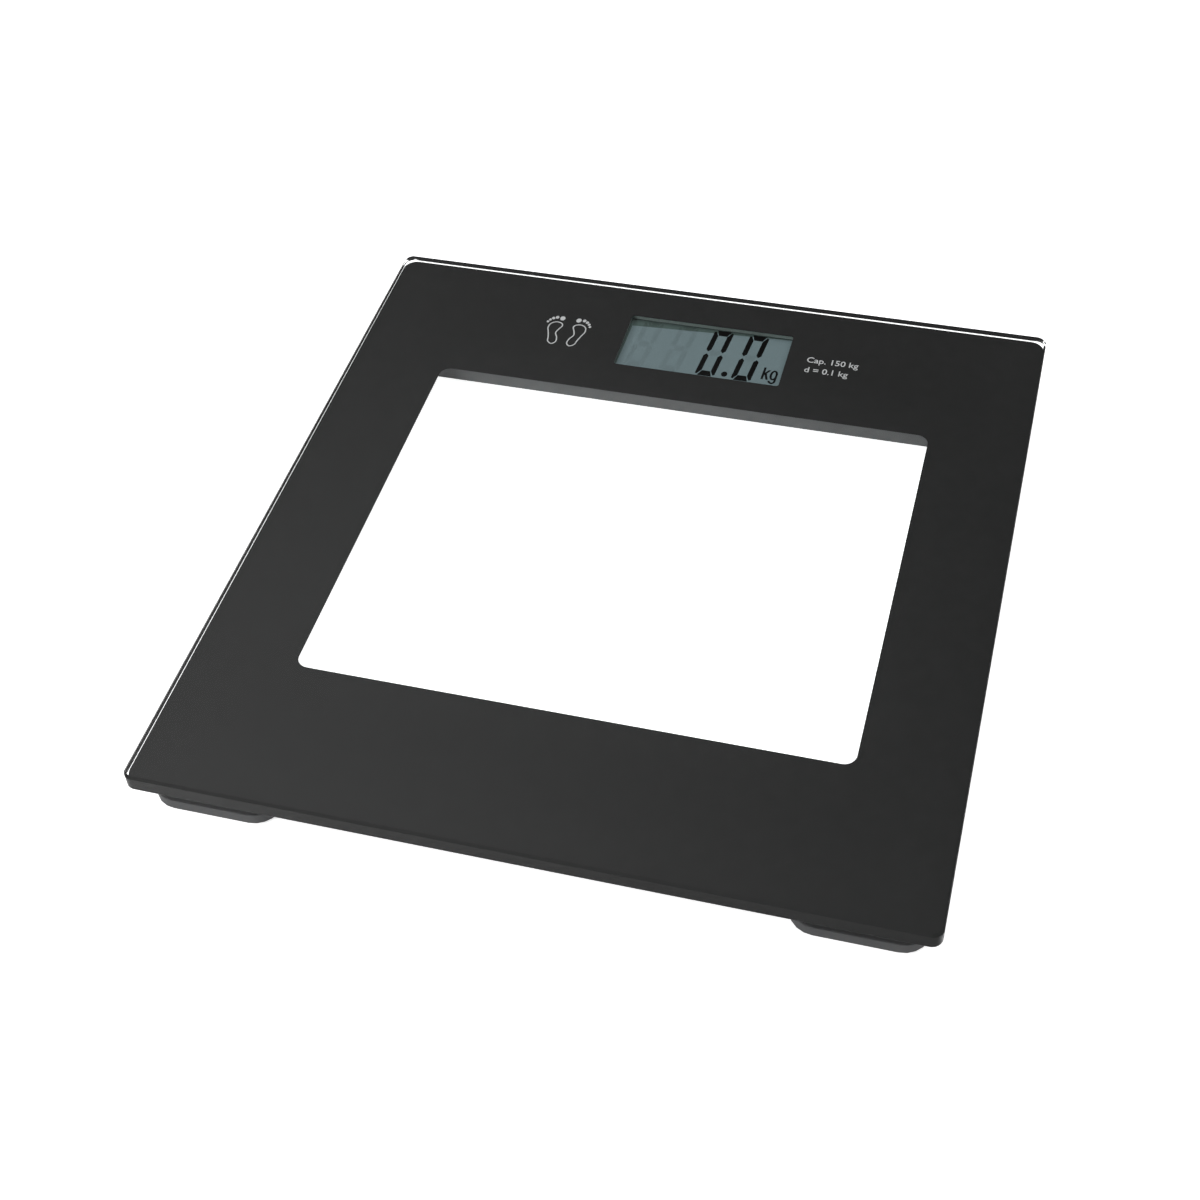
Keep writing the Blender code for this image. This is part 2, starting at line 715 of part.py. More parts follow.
def make_battery():
    """The coin cell in its bay, the two contact strips and their leads."""
    bottom = HOUSING_BOTTOM + DOOR_THICKNESS + FIT_GAP
    top = bottom + BATTERY_THICKNESS
    step = top - BATTERY_STEP_HEIGHT
    middle = (BATTERY_X, BATTERY_Y)
    battery = add_part("coin_battery", disc(BATTERY_RADIUS, bottom, step, middle, 32), "cell")
    crown = disc(BATTERY_RADIUS - BATTERY_STEP, step - BATTERY_STEP_OVERLAP, top, middle, 32)
    shape(battery, "UNION", crown)
    strip_bottom = top + SLIVER_GAP
    add_part(
        "battery_contact_negative",
        bay_box(
            CONTACT_HALF_WIDTH, CONTACT_FRONT, BAY_BACK + CONTACT_REACH,
            strip_bottom, strip_bottom + CONTACT_THICKNESS,
        ),
        "contact",
    )
    near = BATTERY_RADIUS + FIT_GAP
    far = BAY_HALF_WIDTH + CONTACT_REACH
    positive = add_part(
        "battery_contact_positive",
        box_between(
            (BATTERY_X + near, BATTERY_Y - CONTACT_HALF_DEPTH, bottom),
            (BATTERY_X + near + CONTACT_THICKNESS, BATTERY_Y + CONTACT_HALF_DEPTH, top),
        ),
        "contact",
    )
    tab = box_between(
        (BATTERY_X + near + CONTACT_THICKNESS / 2, BATTERY_Y - TAB_HALF_DEPTH, top - TAB_DROP),
        (BATTERY_X + far, BATTERY_Y + TAB_HALF_DEPTH, top - SLIVER_GAP),
    )
    shape(positive, "UNION", tab)
    lead_z = BOARD_TOP + FIT_GAP + LEAD_RADIUS
    pad_x = BOARD_LEFT + PAD_INSET
    positive_route = [
        (BATTERY_X + far + LEAD_GAP, BATTERY_Y, lead_z), (pad_x, BATTERY_Y, lead_z)
    ]
    add_part("battery_lead_positive", tube(positive_route, LEAD_RADIUS), "lead")
    start_y = BATTERY_Y + BAY_BACK + CONTACT_REACH + LEAD_GAP
    turn_y = BATTERY_Y + BAY_BACK + NEGATIVE_RISE
    negative_route = [
        (BATTERY_X, start_y, lead_z), (BATTERY_X, turn_y, lead_z), (pad_x, turn_y, lead_z)
    ]
    add_part(
        "battery_lead_negative", tube(route(negative_route, LEAD_BEND), LEAD_RADIUS), "lead"
    )


def make_battery_door():
    """The flush lid of the battery bay, which turns about two moulded pins at its front."""
    hinge = bpy.data.objects.new("battery_door_hinge", None)
    parts.objects.link(hinge)
    hinge.location = (BATTERY_X, BATTERY_Y + DOOR_HINGE_Y, FLOOR_TOP)
    half = BAY_HALF_WIDTH - FIT_GAP
    reach = BAY_BACK - FIT_GAP - DOOR_HINGE_Y
    under = -HOUSING_FLOOR
    door = add_part(
        "battery_door", box_between((-half, 0, under), (half, reach, under + DOOR_THICKNESS)),
        "plastic", hinge,
    )
    knuckle = rod_x(KNUCKLE_RADIUS, 2 * (half - SLIVER_GAP), (0, 0, 0))
    pins = rod_x(PIN_RADIUS, 2 * (BAY_HALF_WIDTH + PIN_REACH), (0, 0, 0))
    shape(door, "UNION", knuckle, pins)
    scoop = rod_x(SCOOP_RADIUS, SCOOP_LENGTH, (0, reach - SCOOP_INSET, under - SCOOP_DROP))
    shape(door, "DIFFERENCE", scoop)
    for i in range(3):
        y = reach - GROOVE_START - i * GROOVE_PITCH
        groove = box_between(
            (-NOTCH_HALF_WIDTH, y, under - OVERCUT),
            (NOTCH_HALF_WIDTH, y + GROOVE_WIDTH, under + GROOVE_DEPTH),
        )
        shape(door, "DIFFERENCE", groove)


def make_button():
    """The unit button that pushes the switch from below, on its own travel axis."""
    axis = bpy.data.objects.new("unit_button_axis", None)
    parts.objects.link(axis)
    axis.location = (BUTTON_X, BUTTON_Y, 0)
    flange_bottom = FLOOR_TOP + FIT_GAP
    stem_bottom = HOUSING_BOTTOM + BUTTON_RECESS
    button = add_part(
        "unit_button", disc(BUTTON_FLANGE_RADIUS, flange_bottom, flange_bottom + BUTTON_FLANGE),
        "cap", axis,
    )
    stem_top = flange_bottom + BUTTON_FLANGE / 2
    shape(button, "UNION", disc(BUTTON_RADIUS, stem_bottom, stem_top))


# ------------------------------------------------------------------ electronics
def make_electronics():
    """Circuit board with its chip and switch, display stack, bezel and screws."""
    board = add_part(
        "circuit_board",
        box_between((BOARD_LEFT, BOARD_FRONT, BOARD_BOTTOM), (BOARD_RIGHT, BOARD_BACK, BOARD_TOP)),
        "board",
    )
    below = BOARD_BOTTOM - SLIVER_GAP
    chip = disc(
        CHIP_RADIUS, below - CHIP_HEIGHT, below, (DISPLAY_X + CHIP_X, DISPLAY_Y + CHIP_Y),
        end_radius=CHIP_FOOT_RADIUS,
    )
    add_part("control_chip", chip, "epoxy")
    switch = add_part(
        "tact_switch",
        block(
            (SWITCH_SIZE, SWITCH_SIZE, SWITCH_HEIGHT),
            (BUTTON_X, BUTTON_Y, below - SWITCH_HEIGHT / 2),
        ),
        "epoxy",
    )
    plunger = disc(
        PLUNGER_RADIUS, below - PLUNGER_LENGTH, below - SWITCH_HEIGHT / 2,
        (BUTTON_X, BUTTON_Y), 16,
    )
    shape(switch, "UNION", plunger)
    bezel = add_part(
        "lcd_bezel",
        block(
            (BEZEL_WIDTH, BEZEL_DEPTH, BEZEL_TOP - BEZEL_BOTTOM),
            (DISPLAY_X, DISPLAY_Y, (BEZEL_TOP + BEZEL_BOTTOM) / 2), BEZEL_CORNER_RADIUS, 3,
        ),
        "plastic",
    )
    wide, deep = LCD_WIDTH / 2 + FIT_GAP, LCD_DEPTH / 2 + FIT_GAP
    cavity = box_between(
        (DISPLAY_X - wide, DISPLAY_Y - deep, BEZEL_BOTTOM - OVERCUT),
        (DISPLAY_X + wide, DISPLAY_Y + deep, LCD_TOP + BEZEL_LIP_GAP),
    )
    wide, deep = DISPLAY_WIDTH / 2 + BEZEL_MARGIN, DISPLAY_DEPTH / 2 + BEZEL_MARGIN
    opening = box_between(
        (DISPLAY_X - wide, DISPLAY_Y - deep, BEZEL_BOTTOM),
        (DISPLAY_X + wide, DISPLAY_Y + deep, BEZEL_TOP + OVERCUT),
    )
    shape(bezel, "DIFFERENCE", cavity, opening)
    seat = BEZEL_TOP - SCREW_SEAT_DEPTH
    head_bottom = seat + SLIVER_GAP
    for i, place in enumerate(display_screw_places()):
        pocket = disc(HEAD_POCKET_RADIUS, seat, BEZEL_TOP + OVERCUT, place, 16)
        hole = disc(SCREW_HOLE_RADIUS, BEZEL_BOTTOM - OVERCUT, seat + OVERCUT, place, 12)
        shape(bezel, "DIFFERENCE", pocket, hole)
        hole = disc(SCREW_HOLE_RADIUS, BOARD_BOTTOM - OVERCUT, BOARD_TOP + OVERCUT, place, 12)
        shape(board, "DIFFERENCE", hole)
        screw = add_part(
            f"display_screw_{i + 1}",
            disc(SCREW_RADIUS, SCREW_TIP, head_bottom + HEAD_OVERLAP, place, 12),
            "steel",
        )
        head = disc(HEAD_RADIUS, head_bottom, head_bottom + HEAD_HEIGHT, place, 16)
        shape(screw, "UNION", head)
    lcd = add_part(
        "lcd_glass",
        block(
            (LCD_WIDTH, LCD_DEPTH, LCD_TOP - LCD_BOTTOM),
            (DISPLAY_X, DISPLAY_Y, (LCD_TOP + LCD_BOTTOM) / 2),
        ),
        "lcd",
    )
    ledge_y = DISPLAY_Y - LCD_DEPTH / 2
    ledge = box_between(
        (DISPLAY_X - LCD_WIDTH, ledge_y - OVERCUT, LCD_BOTTOM - OVERCUT),
        (DISPLAY_X + LCD_WIDTH, ledge_y + LCD_LEDGE_WIDTH, LCD_BOTTOM + LCD_LEDGE_HEIGHT),
    )
    shape(lcd, "DIFFERENCE", ledge)
    foil_top = LCD_BOTTOM - SLIVER_GAP
    zebra_back = ledge_y + ZEBRA_BACK
    foil = box_between(
        (DISPLAY_X - LCD_WIDTH / 2, zebra_back + FOIL_CLEARANCE, foil_top - FOIL_THICKNESS),
        (DISPLAY_X + LCD_WIDTH / 2, DISPLAY_Y + LCD_DEPTH / 2, foil_top),
    )
    add_part("lcd_reflector", foil, "foil")
    zebra = box_between(
        (DISPLAY_X - LCD_WIDTH / 2 + ZEBRA_INSET, ledge_y + ZEBRA_FRONT, BOARD_TOP + SLIVER_GAP),
        (DISPLAY_X + LCD_WIDTH / 2 - ZEBRA_INSET, zebra_back, LCD_BOTTOM - SLIVER_GAP),
    )
    add_part("zebra_connector", zebra, "zebra")


# ------------------------------------------------------------------ wiring
def make_wiring():
    """Side ducts behind the border print and one wire bundle from each foot to the board."""
    inner_face = FOOT_Y - FOOT_SIZE / 2
    cell_end = FOOT_Y - CELL_SIZE / 2 + CELL_OVERHANG
    for side, sign in (("left", -1), ("right", 1)):
        x = sign * DUCT_X
        half = DUCT_WIDTH / 2
        duct = add_part(
            f"wire_duct_{side}",
            box_between(
                (x - half, -inner_face + FIT_GAP, DUCT_BOTTOM),
                (x + half, HOUSING_FRONT - FIT_GAP, GLUED_TOP + DUCT_SINK),
            ),
            "plastic",
        )
        channel = box_between(
            (x - half + DUCT_WALL, -inner_face - OVERCUT, DUCT_BOTTOM + DUCT_WALL),
            (x + half - DUCT_WALL, HOUSING_FRONT + OVERCUT, GLUED_TOP + OVERCUT),
        )
        shape(duct, "DIFFERENCE", channel)
        end_x = BOARD_LEFT + BUNDLE_INSET if sign < 0 else BOARD_RIGHT - BUNDLE_INSET
        for row, start_y, lane in (("front", -cell_end, FRONT_LANE), ("rear", cell_end, REAR_LANE)):
            lane_y = HOUSING_FRONT + lane
            points = [(x, start_y, WIRE_Z), (x, lane_y, WIRE_Z), (end_x, lane_y, WIRE_Z)]
            bundle = tube(route(points, BUNDLE_BEND), WIRE_RADIUS)
            add_part(f"wire_bundle_{row}_{side}", bundle, "wire")


# ------------------------------------------------------------------ assembly
make_platform()
for row, row_y, turn in (("front", -FOOT_Y, 0.0), ("rear", FOOT_Y, math.pi)):
    for column, column_x in (("left", -FOOT_X), ("right", FOOT_X)):
        make_foot(f"{row}_{column}", foot_anchor(f"foot_axis_{row}_{column}", column_x, row_y, turn))
make_housing()
make_battery()
make_battery_door()
make_button()
make_electronics()
make_wiring()
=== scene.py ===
"""Looks of the digital bathroom scale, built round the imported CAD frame.

Metres, +Z up. The origin lies on the floor under the middle of the platform.
+X is the user's right and +Y points away from the user, towards the display.
"""

import math

import bmesh
import bpy
from mathutils import Matrix, Vector


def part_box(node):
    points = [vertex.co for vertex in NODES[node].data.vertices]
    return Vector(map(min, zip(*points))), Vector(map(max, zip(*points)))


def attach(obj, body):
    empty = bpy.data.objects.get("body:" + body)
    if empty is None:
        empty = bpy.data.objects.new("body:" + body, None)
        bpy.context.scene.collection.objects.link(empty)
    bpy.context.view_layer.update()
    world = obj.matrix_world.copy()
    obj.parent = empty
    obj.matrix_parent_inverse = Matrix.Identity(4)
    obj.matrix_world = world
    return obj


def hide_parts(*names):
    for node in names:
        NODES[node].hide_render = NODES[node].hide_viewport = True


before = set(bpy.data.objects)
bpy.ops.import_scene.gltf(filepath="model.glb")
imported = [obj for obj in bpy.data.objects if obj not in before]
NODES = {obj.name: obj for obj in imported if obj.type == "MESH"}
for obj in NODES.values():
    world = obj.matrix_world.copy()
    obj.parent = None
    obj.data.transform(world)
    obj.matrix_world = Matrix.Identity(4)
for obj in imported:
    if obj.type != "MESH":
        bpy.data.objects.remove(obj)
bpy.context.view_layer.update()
MM = 0.001
CORNERS = ("front_left", "front_right", "rear_left", "rear_right")

# ------------------------------------------------------------------ camera and light
CAMERA_TARGET = (-1.68 * MM, -37.05 * MM, 23.0 * MM)
CAMERA_DISTANCE = 747.9 * MM
CAMERA_AZIMUTH = 17.72
CAMERA_ELEVATION = 46.58
CAMERA_ROLL = -3.62
LENS = 57.40
SENSOR_WIDTH = 36.0

# Strengths of the sky: on matt surfaces, in mirror images, and behind the scene.
SKY_BASE = 0.16
SKY_MIRRORED = 0.02
BACKDROP = 1.3
# Two soft bright areas in the sky: strength, direction, and the cosine at which they end.
FRONT_GLOW = 0.42
FRONT_DIRECTION = (-0.48, -0.67, 0.57)
FRONT_EDGE = 0.72
SOFTBOX_GAIN = 0.8
SOFTBOX_DIRECTION = (-0.45, 0.32, 0.834)
SOFTBOX_EDGE = 0.8
GLOW_FALL_OFF = 2.0
# Square lamps aimed at the object: place, size and power.
LAMPS = {
    "overhead_softbox": ((0.3, 0.4, 1.7), 2.6, 28.0),
    "key_softbox": ((-0.85, -0.85, 0.85), 0.6, 9.0),
}


def make_camera():
    """The camera at the photograph's angle, with its slight roll."""
    azimuth, elevation, roll = (
        math.radians(v) for v in (CAMERA_AZIMUTH, CAMERA_ELEVATION, CAMERA_ROLL)
    )
    back = Vector((
        math.sin(azimuth) * math.cos(elevation),
        -math.cos(azimuth) * math.cos(elevation),
        math.sin(elevation),
    ))
    right = (-back).cross(Vector((0, 0, 1))).normalized()
    up = right.cross(-back)
    rolled_right = math.cos(roll) * right + math.sin(roll) * up
    rolled_up = math.cos(roll) * up - math.sin(roll) * right
    data = bpy.data.cameras.new("camera")
    data.lens = LENS
    data.sensor_width = SENSOR_WIDTH
    data.clip_start = 0.01
    camera = bpy.data.objects.new("camera", data)
    bpy.context.scene.collection.objects.link(camera)
    turn = Matrix((rolled_right, rolled_up, back)).transposed().to_4x4()
    place = Vector(CAMERA_TARGET) + CAMERA_DISTANCE * back
    camera.matrix_world = Matrix.Translation(place) @ turn
    bpy.context.scene.camera = camera


def maths(tree, operation, *values):
    """The result of a maths node fed by numbers and sockets."""
    made = tree.nodes.new("ShaderNodeMath")
    made.operation = operation
    for socket, value in zip(made.inputs, values):
        if isinstance(value, bpy.types.NodeSocket):
            tree.links.new(value, socket)
        else:
            socket.default_value = value
    return made.outputs[0]


def make_world():
    """A grey studio with soft light from behind the left and from the front left."""
    world = bpy.data.worlds.new("studio")
    world.use_nodes = True
    bpy.context.scene.world = world
    tree = world.node_tree
    link = tree.links.new
    tree.nodes.clear()
    direction = tree.nodes.new("ShaderNodeTexCoord").outputs["Generated"]

    def lobe(centre, edge):
        """A soft round area of sky, brightest at its centre."""
        facing = tree.nodes.new("ShaderNodeVectorMath")
        facing.operation = "DOT_PRODUCT"
        link(direction, facing.inputs[0])
        facing.inputs[1].default_value = Vector(centre).normalized()
        inside = tree.nodes.new("ShaderNodeMapRange")
        inside.inputs["From Min"].default_value = edge
        link(facing.outputs["Value"], inside.inputs["Value"])
        return maths(tree, "POWER", inside.outputs["Result"], GLOW_FALL_OFF)

    glow = lobe(SOFTBOX_DIRECTION, SOFTBOX_EDGE)
    front = lobe(FRONT_DIRECTION, FRONT_EDGE)
    path = tree.nodes.new("ShaderNodeLightPath").outputs
    mirrored = path["Is Glossy Ray"]
    sky = maths(tree, "MULTIPLY_ADD", mirrored, SKY_MIRRORED - SKY_BASE, SKY_BASE)
    sky = maths(tree, "MULTIPLY_ADD", front, FRONT_GLOW, sky)
    sky = maths(tree, "MULTIPLY_ADD", glow, SOFTBOX_GAIN, sky)
    studio = tree.nodes.new("ShaderNodeBackground")
    link(sky, studio.inputs["Strength"])
    backdrop = tree.nodes.new("ShaderNodeBackground")
    backdrop.inputs["Strength"].default_value = BACKDROP
    mix = tree.nodes.new("ShaderNodeMixShader")
    link(path["Is Camera Ray"], mix.inputs[0])
    link(studio.outputs[0], mix.inputs[1])
    link(backdrop.outputs[0], mix.inputs[2])
    link(mix.outputs[0], tree.nodes.new("ShaderNodeOutputWorld").inputs["Surface"])
    bpy.context.scene.view_settings.view_transform = "Standard"


def softbox(name, place, size, power):
    """A square lamp that lights the object but isn't mirrored in the black glass."""
    data = bpy.data.lights.new(name, "AREA")
    data.shape = "SQUARE"
    data.size = size
    data.energy = power
    lamp = bpy.data.objects.new(name, data)
    lamp.location = place
    lamp.rotation_euler = (-Vector(place)).to_track_quat("-Z", "Y").to_euler()
    lamp.visible_glossy = False
    lamp.visible_transmission = False
    lamp.visible_camera = False
    data.cycles.use_multiple_importance_sampling = False
    bpy.context.scene.collection.objects.link(lamp)


make_camera()
make_world()
for name, settings in LAMPS.items():
    softbox(name, *settings)


# ------------------------------------------------------------------ procedural finishes
class Finish:
    """A Principled material whose colour, roughness and relief come from nodes.

    Uniform values are named by socket, with _ for a space.
    """

    def __init__(self, name, **uniform):
        self.material = bpy.data.materials.new(name)
        self.material.use_nodes = True
        self.tree = self.material.node_tree
        self.shader = self.tree.nodes["Principled BSDF"]
        self.link = self.tree.links.new
        self.coordinates = self.tree.nodes.new("ShaderNodeTexCoord").outputs["Object"]
        for socket, value in uniform.items():
            self.shader.inputs[socket.replace("_", " ")].default_value = value

    def node(self, kind, **feeds):
        """Adds a node; each feed is a value or a socket, named by input with _ for a space."""
        made = self.tree.nodes.new(kind)
        for name, feed in feeds.items():
            socket = made.inputs[name.replace("_", " ")]
            if isinstance(feed, bpy.types.NodeSocket):
                self.link(feed, socket)
            else:
                socket.default_value = feed
        return made

    def place(self, stretch):
        """Object coordinates stretched along each axis."""
        return self.node("ShaderNodeMapping", Vector=self.coordinates, Scale=stretch).outputs[0]

    def noise(self, scale, detail=2.0, stretch=(1, 1, 1)):
        """Cloudy noise with this many features to the metre."""
        made = self.node(
            "ShaderNodeTexNoise", Vector=self.place(stretch), Scale=scale, Detail=detail
        )
        return made.outputs["Fac"]

    def waves(self, scale, stretch, distortion=0.0):
        """Straight bands, scale to the metre, along the axis that stretch keeps."""
        made = self.node(
            "ShaderNodeTexWave", Vector=self.place(stretch), Scale=scale, Distortion=distortion
        )
        made.bands_direction = "DIAGONAL"
        return made.outputs["Fac"]

    def cells(self, scale):
        """Distance to the middle of the nearest random cell."""
        made = self.node("ShaderNodeTexVoronoi", Vector=self.coordinates, Scale=scale)
        return made.outputs["Distance"]

    def colour(self, factor, *stops):
        """Base colour from (position, colour) stops along the factor."""
        ramp = self.node("ShaderNodeValToRGB", Fac=factor)
        elements = ramp.color_ramp.elements
        while len(elements) < len(stops):
            elements.new(0.5)
        for element, (position, colour) in zip(elements, stops):
            element.position = position
            element.color = (*colour, 1.0)
        self.link(ramp.outputs["Color"], self.shader.inputs["Base Color"])
        return self

    def rough(self, factor, low, high):
        """Roughness between low and high with the factor."""
        spread = self.node("ShaderNodeMapRange", Value=factor, To_Min=low, To_Max=high)
        self.link(spread.outputs["Result"], self.shader.inputs["Roughness"])
        return self

    def relief(self, factor, distance, strength=1.0):
        """Bump of this height in metres."""
        bump = self.node("ShaderNodeBump", Height=factor, Distance=distance, Strength=strength)
        self.link(bump.outputs["Normal"], self.shader.inputs["Normal"])
        return self

    def surface(self, factor, first, second):
        """Shows the second shader instead of the first where the factor is one."""
        mix = self.node("ShaderNodeMixShader")
        self.link(factor, mix.inputs[0])
        self.link(first, mix.inputs[1])
        self.link(second, mix.inputs[2])
        self.link(mix.outputs[0], self.tree.nodes["Material Output"].inputs["Surface"])


def grey(value, tint=0.0):
    """A grey, made cooler by a positive tint."""
    return (value * (1 - tint), value, value * (1 + tint))


def moulded(name, shade, roughness, grain=5200.0, height=6e-6, tint=0.02):
    """Moulded plastic or rubber: spark-eroded grain, with a slow drift in colour and gloss."""
    finish = Finish(name)
    drift = finish.noise(90.0, 4.0)
    finish.colour(drift, (0.3, grey(shade * 0.93, tint)), (0.7, grey(shade * 1.07, tint)))
    finish.rough(finish.noise(700.0, 3.0), roughness - 0.05, roughness + 0.06)
    finish.relief(finish.noise(grain, 3.0), height, 0.6)
    return finish.material


def metal(name, colour, roughness, stretch=(1, 40, 40)):
    """Plated or sprung metal with fine rolling lines along X."""
    finish = Finish(name, Metallic=1.0)
    lines = finish.noise(160.0, 5.0, stretch)
    darker = tuple(0.82 * c for c in colour)
    finish.colour(lines, (0.35, darker), (0.65, colour))
    finish.rough(lines, roughness - 0.05, roughness + 0.12)
    finish.relief(lines, 3e-6, 0.4)
    return finish.material


def make_glass():
    """Clear float glass with a faint cool tint and the slow waviness of tempering."""
    finish = Finish("tempered_glass", Roughness=0.0, IOR=1.52, Transmission_Weight=1.0)
    cloud = finish.noise(9.0, 2.0)
    finish.colour(cloud, (0.3, (0.958, 0.970, 0.966)), (0.7, (0.966, 0.977, 0.974)))
    finish.relief(finish.noise(16.0, 1.0, (1, 0.4, 1)), 4e-6, 0.3)
    clear = finish.node("ShaderNodeBsdfTransparent", Color=(0.922, 0.934, 0.931, 1.0))
    shadow = finish.node("ShaderNodeLightPath").outputs["Is Shadow Ray"]
    finish.surface(shadow, finish.shader.outputs[0], clear.outputs[0])
    return finish.material


def make_ink():
    """Fired ink as seen through the glass: deep black, with a little cloudiness."""
    finish = Finish("fired_ink", Roughness=1.0, Specular_IOR_Level=0.0)
    finish.colour(finish.noise(140.0, 5.0), (0.3, grey(0.0285)), (0.7, grey(0.0304)))
    return finish.material


def make_ink_back():
    """The same ink seen from below: matt, a little grainy."""
    finish = Finish("ink_back")
    finish.colour(finish.noise(220.0, 4.0), (0.3, grey(0.013)), (0.7, grey(0.019)))
    finish.rough(finish.noise(900.0, 3.0), 0.38, 0.55)
    finish.relief(finish.noise(2600.0, 2.0), 5e-6, 0.5)
    return finish.material


def make_board():
    """Green solder mask over copper tracks."""
    finish = Finish("solder_mask", Coat_Weight=0.3)
    tracks = finish.waves(420.0, (1, 0.15, 0), 3.0)
    finish.colour(
        tracks, (0.40, (0.012, 0.085, 0.030)), (0.52, (0.022, 0.150, 0.052)),
        (0.60, (0.022, 0.150, 0.052)),
    )
    finish.rough(finish.noise(500.0), 0.30, 0.42)
    finish.relief(tracks, 2e-5, 0.5)
    return finish.material


def make_zebra():
    """Conductive and insulating stripes of an elastomer connector."""
    finish = Finish("striped_elastomer")
    stripes = finish.waves(2600.0, (1, 0, 0))
    finish.colour(stripes, (0.45, (0.03, 0.03, 0.03)), (0.55, (0.62, 0.36, 0.40)))
    finish.rough(stripes, 0.55, 0.75)
    return finish.material


def make_wire():
    """A bundle of red, black and white strands lying side by side."""
    finish = Finish("stranded_jackets")
    strands = finish.waves(160.0, (1, 0.2, 0.6))
    finish.colour(
        strands, (0.0, (0.30, 0.012, 0.010)), (0.34, (0.30, 0.012, 0.010)),
        (0.36, (0.012, 0.012, 0.013)), (0.66, (0.012, 0.012, 0.013)), (0.68, (0.55, 0.55, 0.53)),
    )
    finish.rough(finish.noise(600.0), 0.40, 0.55)
    finish.relief(strands, 8e-5, 0.5)
    return finish.material


def make_foam_tape_and_painted_shade():
    """Closed-cell foam tape; its near black is painted shade for the dark line under the glass
    edge.
    """
    finish = Finish("foam_tape")
    bubbles = finish.cells(2400.0)
    finish.colour(bubbles, (0.1, grey(0.020)), (0.6, grey(0.045)))
    finish.rough(bubbles, 0.75, 0.95)
    finish.relief(bubbles, 4e-5, 0.7)
    return finish.material


def make_film(name, dark, light, roughness):
    """Satin sheet or glass of the display, with the fine weave of the reflector behind."""
    finish = Finish(name, Specular_IOR_Level=0.3)
    weave = finish.noise(2300.0, 2.0, (1, 0.6, 1))
    finish.colour(weave, (0.25, dark), (0.75, light))
    finish.rough(finish.noise(120.0), roughness - 0.04, roughness + 0.06)
    return finish.material


def make_ghost():
    """An idle display segment: a faint grey veil over the polariser."""
    finish = Finish("idle_segment", Roughness=0.5, Specular_IOR_Level=0.0, Alpha=0.07)
    finish.colour(finish.noise(2000.0), (0.3, grey(0.020)), (0.7, grey(0.032)))
    return finish.material


def make_segment():
    """A driven display segment: as near black as the crystal gets."""
    finish = Finish("lit_segment", Roughness=0.9, Specular_IOR_Level=0.0)
    finish.colour(finish.noise(2000.0), (0.3, grey(0.0010)), (0.7, grey(0.0016)))
    return finish.material


PAINT = {
    "glass": make_glass(),
    "ink": make_ink(),
    "ink_back": make_ink_back(),
    "housing": moulded("housing_plastic", 0.160, 0.38),
    # The foot shells' near black is partly darker plastic and partly painted shade from the
    # plate above them; the duct covers share it.
    "holder": moulded("holder_plastic_and_painted_shade", 0.028, 0.55),
    "bezel": make_film("bezel_plastic", (0.290, 0.345, 0.328), (0.320, 0.380, 0.362), 0.50),
    "cap": moulded("cap_plastic", 0.112, 0.40),
    "rubber": moulded("pad_rubber", 0.110, 0.72, 3400.0, 1.2e-5),
    "mark": moulded("mark_print", 0.66, 0.60, 2600.0, 1e-6, 0.01),
    "steel": metal("spring_steel", (0.58, 0.58, 0.59), 0.28),
    "cell": metal("battery_can", (0.72, 0.72, 0.70), 0.20, (1, 6, 6)),
    "contact": metal("nickel_strip", (0.68, 0.65, 0.58), 0.26),
    "screw": metal("screw_steel", (0.50, 0.50, 0.52), 0.24),
    "foil": metal("reflector_foil", (0.50, 0.53, 0.51), 0.35, (1, 1, 1)),
    "silicone": moulded("sealant", 0.78, 0.45, 900.0, 3e-5, -0.02),
    # The tapes' near black is painted shade under the glass edge.
    "foam": make_foam_tape_and_painted_shade(),
    "board": make_board(),
    "epoxy": moulded("potting_epoxy", 0.015, 0.25, 500.0, 2e-5),
    "zebra": make_zebra(),
    "wire": make_wire(),
    "lead": moulded("lead_jacket", 0.05, 0.45),
    "film": make_film("polariser", (0.200, 0.264, 0.284), (0.218, 0.286, 0.304), 0.45),
    "cell_glass": make_film("cell_glass", (0.096, 0.138, 0.128), (0.110, 0.154, 0.143), 0.22),
    "segment": make_segment(),
    "ghost": make_ghost(),
}


# ------------------------------------------------------------------ mesh tools
SHARP = math.radians(40.0)
FLAT = math.radians(1.0)
SMOOTH_DEGREES = 35.0
# Points closer than this are one: in drawn outlines, in CAD meshes, and after rounding.
OUTLINE_WELD = 0.0001 * MM
CAD_WELD = 0.001 * MM
SEAM = 0.003 * MM


def weight_normals(piece):
    """Lets large faces decide the shading next to rounded edges."""
    weighted = piece.modifiers.new("weighted_normals", "WEIGHTED_NORMAL")
    weighted.keep_sharp = True


def add_piece(name, mesh, paint, body="platform", smooth=SMOOTH_DEGREES, last=True):
    """Adds a mesh as a piece that rides on a body, smooth but for its true edges.

    The piece is done unless last is False, when the caller still adds modifiers.
    """
    mesh.materials.clear()
    for key in paint if isinstance(paint, tuple) else (paint,):
        mesh.materials.append(PAINT[key])
    piece = bpy.data.objects.new(name, mesh)
    bpy.context.scene.collection.objects.link(piece)
    mesh.shade_smooth()
    mesh.set_sharp_from_angle(angle=math.radians(smooth))
    if last:
        weight_normals(piece)
    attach(piece, body)
    return piece


def mesh_from(bm, name):
    """Closes a bmesh into a mesh with outward normals."""
    bmesh.ops.recalc_face_normals(bm, faces=bm.faces[:])
    mesh = bpy.data.meshes.new(name)
    bm.to_mesh(mesh)
    bm.free()
    return mesh


def rounded_rectangle(width, depth, radius, segments, centre=(0, 0)):
    """Outline points of a rounded rectangle, counter-clockwise from its right side."""
    points = []
    for quarter, (sx, sy) in enumerate(((1, 1), (-1, 1), (-1, -1), (1, -1))):
        cx = centre[0] + sx * (width / 2 - radius)
        cy = centre[1] + sy * (depth / 2 - radius)
        for k in range(segments + 1):
            angle = math.radians(90) * (quarter + k / segments)
            points.append((cx + radius * math.cos(angle), cy + radius * math.sin(angle)))
    return points


